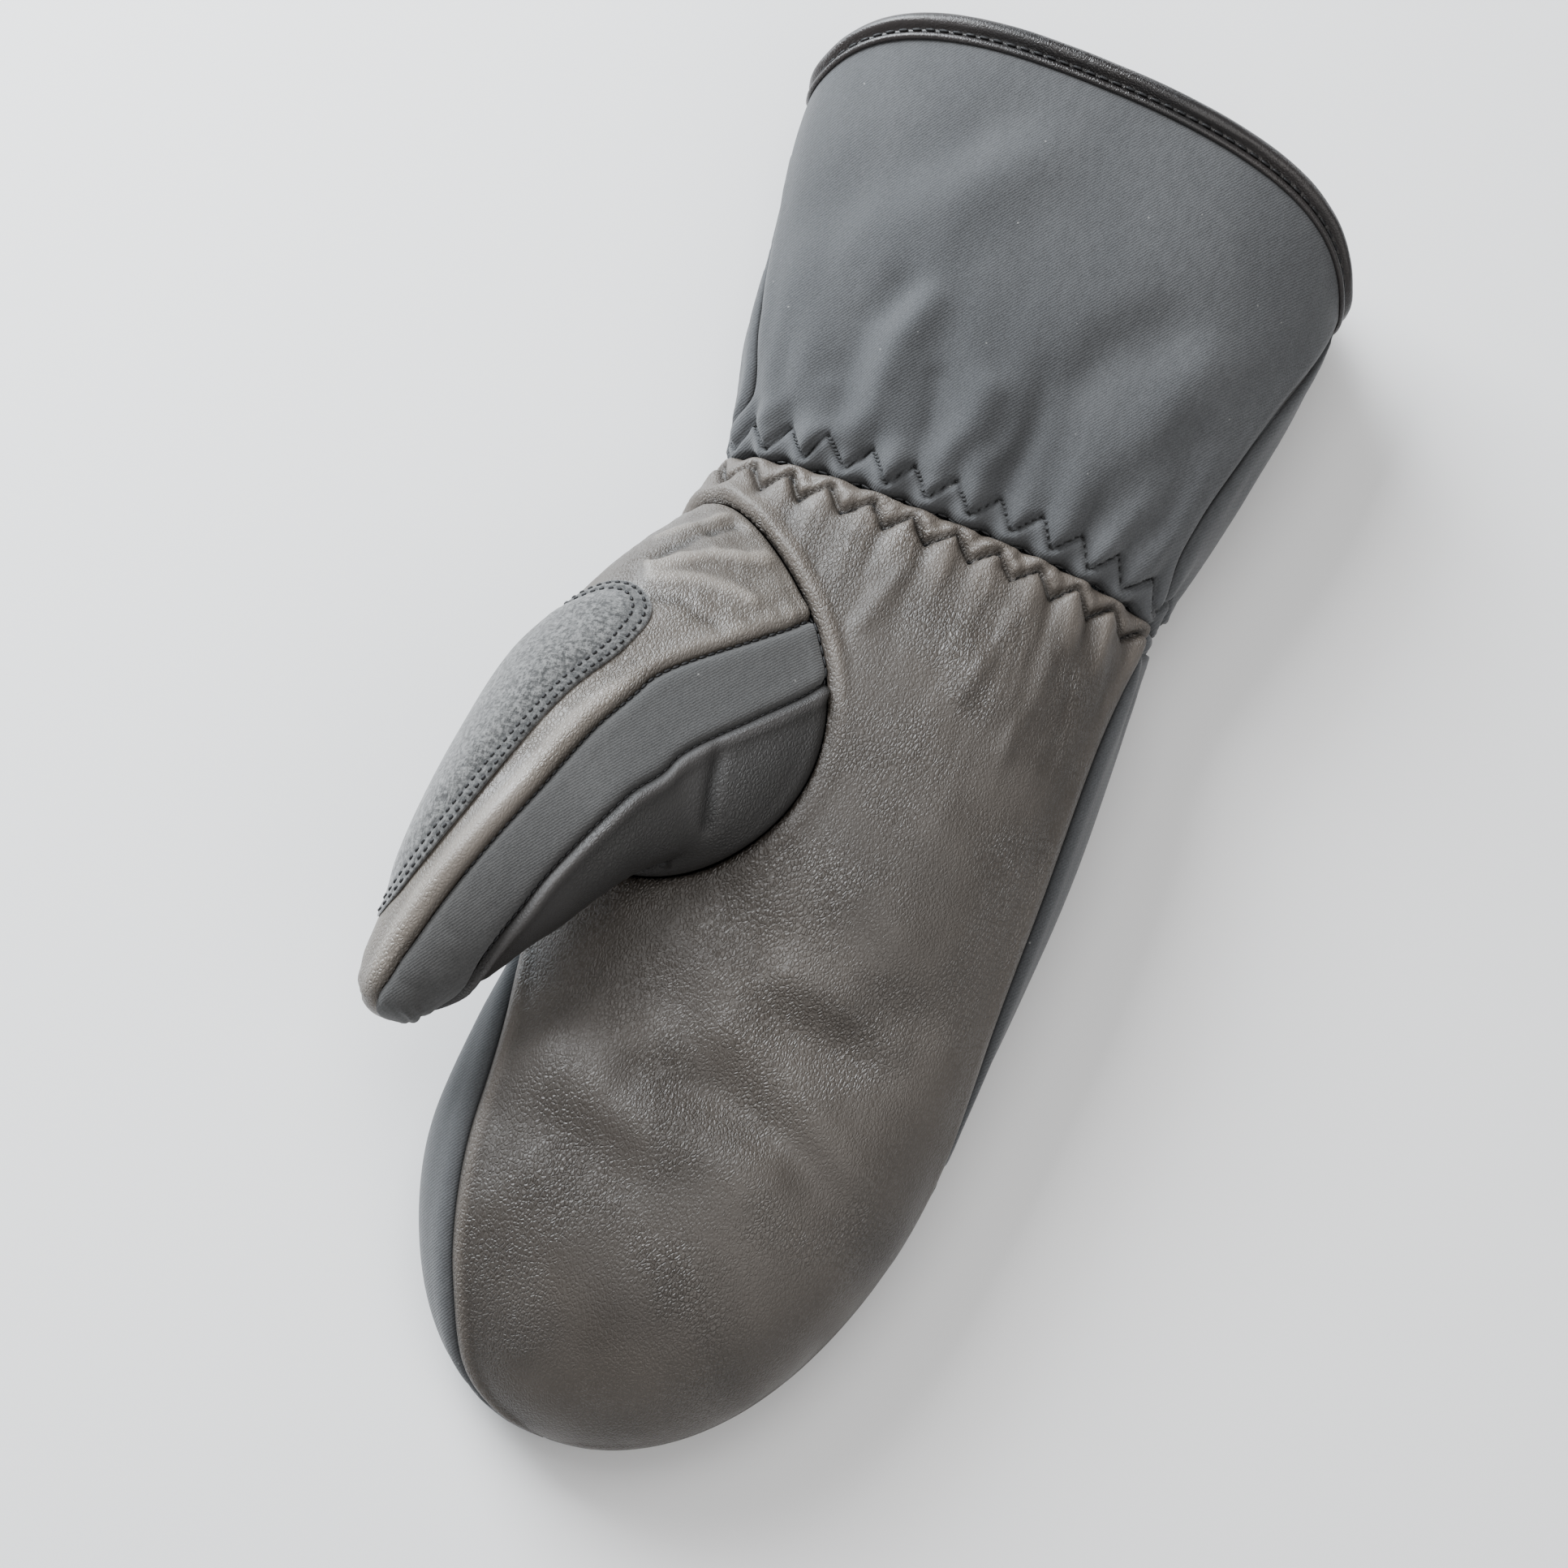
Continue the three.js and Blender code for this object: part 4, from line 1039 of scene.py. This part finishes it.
def total(tree, *parts):
    """A sum of values, each given with its weight."""
    made = 0.0
    for value, weight in parts:
        added = node(tree, "ShaderNodeMath", {0: value, 1: weight, 2: made}, operation="MULTIPLY_ADD")
        made = added.outputs[0]
    return made


def spread(tree, value, low, high, to_low, to_high):
    """Maps a range of a value smoothly to another."""
    made = node(tree, "ShaderNodeMapRange", {
        "Value": value, "From Min": low, "From Max": high, "To Min": to_low, "To Max": to_high,
    }, interpolation_type="SMOOTHSTEP")
    return made.outputs["Result"]


def shade(colour, factor):
    return tuple(channel * factor for channel in colour)


def layered(tree, colour, *layers):
    """Lays tints over a colour, each by its share."""
    for tint, share in layers:
        under = (*colour, 1) if isinstance(colour, tuple) else colour
        laid = node(tree, "ShaderNodeMix", {"Factor": share, 6: under, 7: (*tint, 1)}, data_type="RGBA")
        colour = laid.outputs[2]
    return colour


def material(name, specular, sheen=0.0):
    """A new material with its node tree, its shader and its place in the object's own coordinates."""
    made = bpy.data.materials.new(name)
    made.use_nodes = True
    tree = made.node_tree
    shader = tree.nodes["Principled BSDF"]
    shader.inputs["Specular IOR Level"].default_value = specular
    shader.inputs["Sheen Weight"].default_value = sheen
    shader.inputs["Sheen Roughness"].default_value = 0.6
    place = node(tree, "ShaderNodeTexCoord").outputs["Object"]
    return made, tree, shader, place


def ridge_at(tree):
    """How far the fine relief stands out there, in mm. The materials paint a highlight where it stands out
    (on leather partly wear) and paint shade where it sinks.
    """
    return node(tree, "ShaderNodeAttribute", attribute_name="ridge").outputs["Fac"]


def noise_at(tree, place, scale, detail=2.0, roughness=0.5):
    made = node(tree, "ShaderNodeTexNoise", {
        "Vector": place, "Scale": scale, "Detail": detail, "Roughness": roughness,
    })
    return made.outputs["Fac"]


def scaled(tree, place, size, turn=0.0):
    made = node(tree, "ShaderNodeMapping", {
        "Vector": place, "Scale": size, "Rotation": (0, 0, math.radians(turn)),
    })
    return made.outputs["Vector"]


def finish_surface(tree, shader, colour, rough, height, depth):
    bump = node(tree, "ShaderNodeBump", {"Height": height, "Strength": 1.0, "Distance": depth * MM})
    tree.links.new(colour, shader.inputs["Base Color"])
    tree.links.new(rough, shader.inputs["Roughness"])
    tree.links.new(bump.outputs["Normal"], shader.inputs["Normal"])


def leather(name, dark, light, cell=0.74, stretch=0.62, grain=0.145, rough=0.46):
    """Grained leather: pebbles longer along the hand, creases and cloudy dye. Its ridges are lighter, partly
    with wear and partly as a painted highlight, and its sunk grooves and the grain's cracks get painted
    shade.
    """
    made, tree, shader, place = material(name, specular=0.52)
    bent = noise_at(tree, place, 420, 2)
    shifted = node(tree, "ShaderNodeCombineXYZ", {
        "X": product(tree, bent, 0.9 * MM), "Y": product(tree, bent, -0.7 * MM),
    })
    offset = node(tree, "ShaderNodeVectorMath", {0: place, 1: shifted.outputs[0]}, operation="ADD")
    stretched = scaled(tree, offset.outputs[0], (1, stretch, 1), 12)
    edge = node(tree, "ShaderNodeTexVoronoi", {"Vector": stretched, "Scale": 1 / (cell * MM)},
                feature="DISTANCE_TO_EDGE").outputs["Distance"]
    small = node(tree, "ShaderNodeTexVoronoi", {"Vector": stretched, "Scale": 2.3 / (cell * MM)},
                 feature="F1").outputs["Distance"]
    pebble = spread(tree, edge, 0.0, 0.28, 0.0, 1.0)
    strength = spread(tree, noise_at(tree, place, 38, 2), 0.38, 0.62, 0.35, 1.0)
    crease = noise_at(tree, scaled(tree, place, (1, 0.35, 1), 8), 480, 3, 0.6)
    height = total(tree, (product(tree, pebble, strength), 1), (small, -0.35), (crease, 0.6))
    ridge = ridge_at(tree)
    # Painted shade in the grain's cracks.
    painted_crack_shade = product(tree, spread(tree, edge, 0.0, 0.16, 0.22, 0.0), strength)
    colour = layered(
        tree, dark,
        (light, spread(tree, noise_at(tree, place, 16, 3, 0.6), 0.36, 0.66, 0.0, 1.0)),
        # Ridges lighter: partly wear, partly a painted highlight.
        (shade(light, 1.9), spread(tree, ridge, 0.15, 1.1, 0.0, 0.6)),
        # Painted shade in the sunk grooves and seams.
        (shade(dark, 0.22), spread(tree, ridge, -1.0, -0.1, 0.75, 0.0)),
        (shade(dark, 0.45), painted_crack_shade),
    )
    rough = spread(tree, noise_at(tree, place, 60, 3), 0.3, 0.7, rough - 0.08, rough + 0.1)
    finish_surface(tree, shader, colour, rough, height, grain)
    return made


def softshell(name, dark, light):
    """A brushed softshell with a faint twill, soft cloudy patches of a lighter tone, a few specks of lint, a
    painted highlight on the ridges of its relief and painted shade in its grooves.
    """
    made, tree, shader, place = material(name, specular=0.25, sheen=0.15)
    twill = node(tree, "ShaderNodeTexWave", {
        "Vector": scaled(tree, place, (1, 1, 1), 38),
        "Scale": 560,
        "Distortion": 2.5,
        "Detail": 2,
        "Detail Scale": 2,
    }).outputs["Fac"]
    fibre = noise_at(tree, place, 2600, 2, 0.7)
    nap = noise_at(tree, scaled(tree, place, (1, 0.45, 1), 20), 700, 3, 0.65)
    long_clouds = noise_at(tree, scaled(tree, place, (1, 0.5, 1), 40), 22, 3, 0.6)
    ridge = ridge_at(tree)
    speck = node(tree, "ShaderNodeTexVoronoi", {"Vector": scaled(tree, place, (1, 1, 1), 30), "Scale": 150},
                 feature="F1").outputs["Distance"]
    colour = layered(
        tree, dark,
        (light, spread(tree, long_clouds, 0.35, 0.68, 0.0, 1.0)),
        (shade(dark, 0.45), spread(tree, nap, 0.3, 0.7, 0.4, 0.0)),
        (shade(dark, 0.5), spread(tree, twill, 0.2, 0.8, 0.3, 0.0)),
        (shade(light, 1.5), spread(tree, fibre, 0.35, 0.65, 0.0, 0.25)),
        # A painted highlight on the ridges of the relief, and painted shade in its grooves.
        (shade(light, 1.6), spread(tree, ridge, 0.3, 1.1, 0.0, 0.22)),
        (shade(dark, 0.2), spread(tree, ridge, -1.0, -0.1, 0.8, 0.0)),
        (LINT_COLOUR, spread(tree, speck, 0.015, 0.045, 0.35, 0.0)),
    )
    height = total(tree, (twill, 0.5), (fibre, 0.9), (nap, 1))
    rough = spread(tree, nap, 0.2, 0.8, 0.78, 0.92)
    finish_surface(tree, shader, colour, rough, height, 0.09)
    return made


def felt(name, dark, light):
    """Napped wool felt with mixed fibres, and painted shade on its sunk border where it is sewn down."""
    made, tree, shader, place = material(name, specular=0.15, sheen=0.5)
    fibres = noise_at(tree, scaled(tree, place, (1, 0.4, 1), 35), 1500, 4, 0.75)
    cross = noise_at(tree, scaled(tree, place, (0.4, 1, 1), -20), 1300, 4, 0.75)
    tuft = noise_at(tree, place, 420, 3, 0.7)
    mix = total(tree, (fibres, 0.5), (cross, 0.5))
    colour = layered(
        tree, dark,
        (light, spread(tree, mix, 0.42, 0.59, 0.0, 1.0)),
        (shade(dark, 0.4), spread(tree, tuft, 0.3, 0.6, 0.35, 0.0)),
        # Painted shade on the sunk, sewn-down border.
        (shade(dark, 0.35), spread(tree, ridge_at(tree), -1.0, -0.2, 0.45, 0.0)),
    )
    height = total(tree, (mix, 1.2), (tuft, 0.8))
    rough = spread(tree, tuft, 0.2, 0.8, 0.9, 1.0)
    finish_surface(tree, shader, colour, rough, height, 0.35)
    return made


def thread(name, colour):
    """Twisted thread, a little shiny on its crowns."""
    made, tree, shader, place = material(name, specular=0.4)
    ply = noise_at(tree, place, 2400, 2, 0.6)
    tint = layered(tree, shade(colour, 0.5), (colour, spread(tree, ply, 0.3, 0.7, 0.0, 1.0)))
    rough = spread(tree, ply, 0.2, 0.8, 0.5, 0.75)
    finish_surface(tree, shader, tint, rough, ply, 0.1)
    return made


palm_leather = leather("palm_leather", (0.036, 0.0298, 0.0245), (0.064, 0.0545, 0.0460))
# The thumb's outer panel: a lighter copy of the palm's leather, painted light where it faces the lamps.
painted_light_thumb_leather = leather("painted_light_thumb_leather", (0.066, 0.056, 0.047), (0.121, 0.107, 0.092), rough=0.41)
# The thumb's inner panel: a darker copy of the leather, painted shade on the side that faces away from the
# lamps, with a finer grain and rougher.
painted_shade_leather = leather("painted_shade_inner_leather", (0.017, 0.016, 0.015), (0.028, 0.026, 0.025), grain=0.09, rough=0.6)
binding_leather = leather("binding_leather", (0.010, 0.009, 0.009), (0.024, 0.020, 0.019),
                          cell=0.6, grain=0.06, rough=0.36)
shell_cloth = softshell("softshell", (0.0445, 0.0465, 0.0495), (0.0715, 0.0740, 0.0775))
strip_cloth = softshell("strip_cloth", (0.0445, 0.0445, 0.0440), (0.0715, 0.0710, 0.0700))
wipe_felt = felt("felt", (0.011, 0.011, 0.0105), (0.150, 0.150, 0.146))
black_thread = thread("thread", (0.006, 0.006, 0.007))
grey_thread = thread("grey_thread", (0.009, 0.009, 0.010))


def add(made, finish, replaces=None):
    made.data.materials.append(finish)
    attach(made, "root")
    if replaces:
        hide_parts(replaces)


add(hand_panel("palm", True, HAND_GRID), palm_leather, "palm_panel")
add(hand_panel("hand_back", False, HAND_GRID), shell_cloth, "back_panel")
add(cuff_panel("cuff_palm_side", True, HAND_GRID), shell_cloth, "cuff_palm_panel")
add(cuff_panel("cuff_back_side", False, HAND_GRID), shell_cloth, "cuff_back_panel")
add(binding_piece("rim_binding", *BINDING_GRID), binding_leather, "cuff_binding")
add(thumb_panel("thumb_outer", "outer", THUMB_GRID), painted_light_thumb_leather, "thumb_outer_panel")
add(thumb_panel("thumb_top_strip", "strip", THUMB_GRID), strip_cloth, "thumb_strip")
add(thumb_panel("thumb_inner", "inner", THUMB_GRID), painted_shade_leather, "thumb_inner_panel")
add(patch_piece("felt_patch", PATCH_GRID), wipe_felt, "wipe_patch")


def zigzag_path(surface, row, cuff):
    def path(share, lift):
        turn = share * WHOLE_TURN
        distance = row["near"] + row["height"] * zigzag(turn)
        at = distance / rim_reach(turn) if cuff else 1 - distance / HAND_LENGTH
        little, thumb = seam_angles(CUFF if cuff else HAND, at)
        palm = (turn > little) & (turn < thumb)
        front = surface(at, turn, lift, True)
        back = surface(at, np.where(turn < little, turn + WHOLE_TURN, turn), lift, False)
        return np.where(palm[:, None], front, back)
    return path


def wrist_path(share, lift):
    turn = share * WHOLE_TURN
    at = np.ones_like(turn)
    return raised(hand_base, at, turn, lift - SEAM_DEPTH + 0 * turn, ALONG_STEP * 2, 1) + np.stack(
        [0 * turn, seam_wave(turn, 0), 0 * turn], -1)


def hole_path(share, lift):
    return thumb_surface(np.zeros_like(share), share * WHOLE_TURN, lift, "strip")


def strip_path(name):
    def path(share, lift):
        return thumb_surface(share, thumb_seam(name, share), lift, "strip")
    return path


def patch_path(inset):
    def path(share, lift):
        angle = share * WHOLE_TURN
        place = 0.999 * swell(np.cos(angle), PATCH["end_fullness"])
        off = 0.999 * swell(np.sin(angle), PATCH["side_fullness"])
        low, high = np.zeros_like(share), np.ones_like(share)
        for _ in range(24):
            middle = (low + high) / 2
            deep = patch_edge(place * middle, off * middle) > inset
            low, high = np.where(deep, middle, low), np.where(deep, high, middle)
        return patch_surface(place * low, off * low, lift)
    return path


def groove_path(share, lift):
    turn = share * WHOLE_TURN
    out, up = GROOVE_PLACE
    return rim_point(turn, out + lift + 0 * turn, up + 0 * turn)


# Each row of stitches: its path, pitch, length, width and lift, and the share of the path that it fills.
stitched = {
    "zigzag_palm_stitches": (zigzag_path(hand_surface, PALM_TEETH, False), 1.55, 1.25, 0.55, 0.30, 0, 1),
    "zigzag_cuff_stitches": (zigzag_path(cuff_surface, CUFF_TEETH, True), 1.55, 1.25, 0.50, 0.22, 0, 1),
    "wrist_seam_stitches": (wrist_path, 2.6, 2.2, 0.60, 0.25, 0, 1),
    "thumb_hole_stitches": (hole_path, 2.6, 2.2, 0.60, 0.30, 0, 1),
    "strip_outer_stitches": (strip_path("outer"), 2.1, 1.7, 0.70, 0.25, 0.01, 0.72),
    "strip_inner_stitches": (strip_path("inner"), 2.1, 1.7, 0.60, 0.20, 0.01, 0.80),
    "patch_stitches_1": (patch_path(PATCH_STITCH_ROWS[0]), 2.1, 1.2, 0.75, 0.10, 0, 1),
    "patch_stitches_2": (patch_path(PATCH_STITCH_ROWS[1]), 2.1, 1.2, 0.75, 0.10, 0, 1),
    "binding_stitches": (groove_path, 3.1, 2.2, 0.80, 0.25, 0, 1),
}
for name, row in stitched.items():
    add(stitches(name, *row), grey_thread if name.startswith("patch") else black_thread)


def floor():
    half = 2.5
    corners = np.array([(-half, -half, 0), (half, -half, 0), (half, half, 0), (-half, half, 0)]) / MM
    made = mesh_object("floor", corners - SHIFT, [(0, 1, 2, 3)])
    pale, tree, shader, place = material("pale_floor", specular=0.2)
    share = spread(tree, noise_at(tree, place, 3, 2), 0.3, 0.7, 0.0, 1.0)
    tone = layered(tree, FLOOR_COLOURS[0], (FLOOR_COLOURS[1], share))
    tree.links.new(tone, shader.inputs["Base Color"])
    shader.inputs["Roughness"].default_value = 0.9
    made.data.materials.append(pale)


def area_light(name, direction, distance, size, power, colour):
    """A soft square light that shines at the mitten from a direction."""
    light = bpy.data.lights.new(name, "AREA")
    light.size = size
    light.energy = power
    light.color = colour
    away = unit(np.array(direction, float))
    placed(name, light).matrix_world = facing(away * distance, -away, np.array([0.0, 1.0, 0.0]))


def facing(place, forward, up):
    """A matrix at a place in metres that looks along forward with its top toward up."""
    right = unit(np.cross(forward, up))
    top = np.cross(right, forward)
    rows = np.eye(4)
    rows[:3, 0], rows[:3, 1], rows[:3, 2], rows[:3, 3] = right, top, -forward, place
    return Matrix(rows.tolist())


def camera():
    """The photograph's view: from the fingertips' side, high up, and rolled."""
    elevation, roll = math.radians(VIEW["elevation"]), math.radians(VIEW["roll"])
    aim = np.array(VIEW["aim"]) + SHIFT
    forward = np.array([0, math.cos(elevation), -math.sin(elevation)])
    upright = np.array([0, math.sin(elevation), math.cos(elevation)])
    top = math.cos(roll) * upright - math.sin(roll) * np.array([1.0, 0, 0])
    lens = bpy.data.cameras.new("camera")
    lens.sensor_width = VIEW["sensor"]
    lens.lens = VIEW["lens"]
    made = placed("camera", lens)
    made.matrix_world = facing((aim - forward * VIEW["distance"]) * MM, forward, top)
    bpy.context.scene.camera = made


floor()
for name, light in LIGHTS.items():
    area_light(name, *light)
world = bpy.data.worlds.new("studio")
world.use_nodes = True
world.node_tree.nodes["Background"].inputs["Color"].default_value = SKY_COLOUR
world.node_tree.nodes["Background"].inputs["Strength"].default_value = SKY_STRENGTH
bpy.context.scene.world = world
camera()
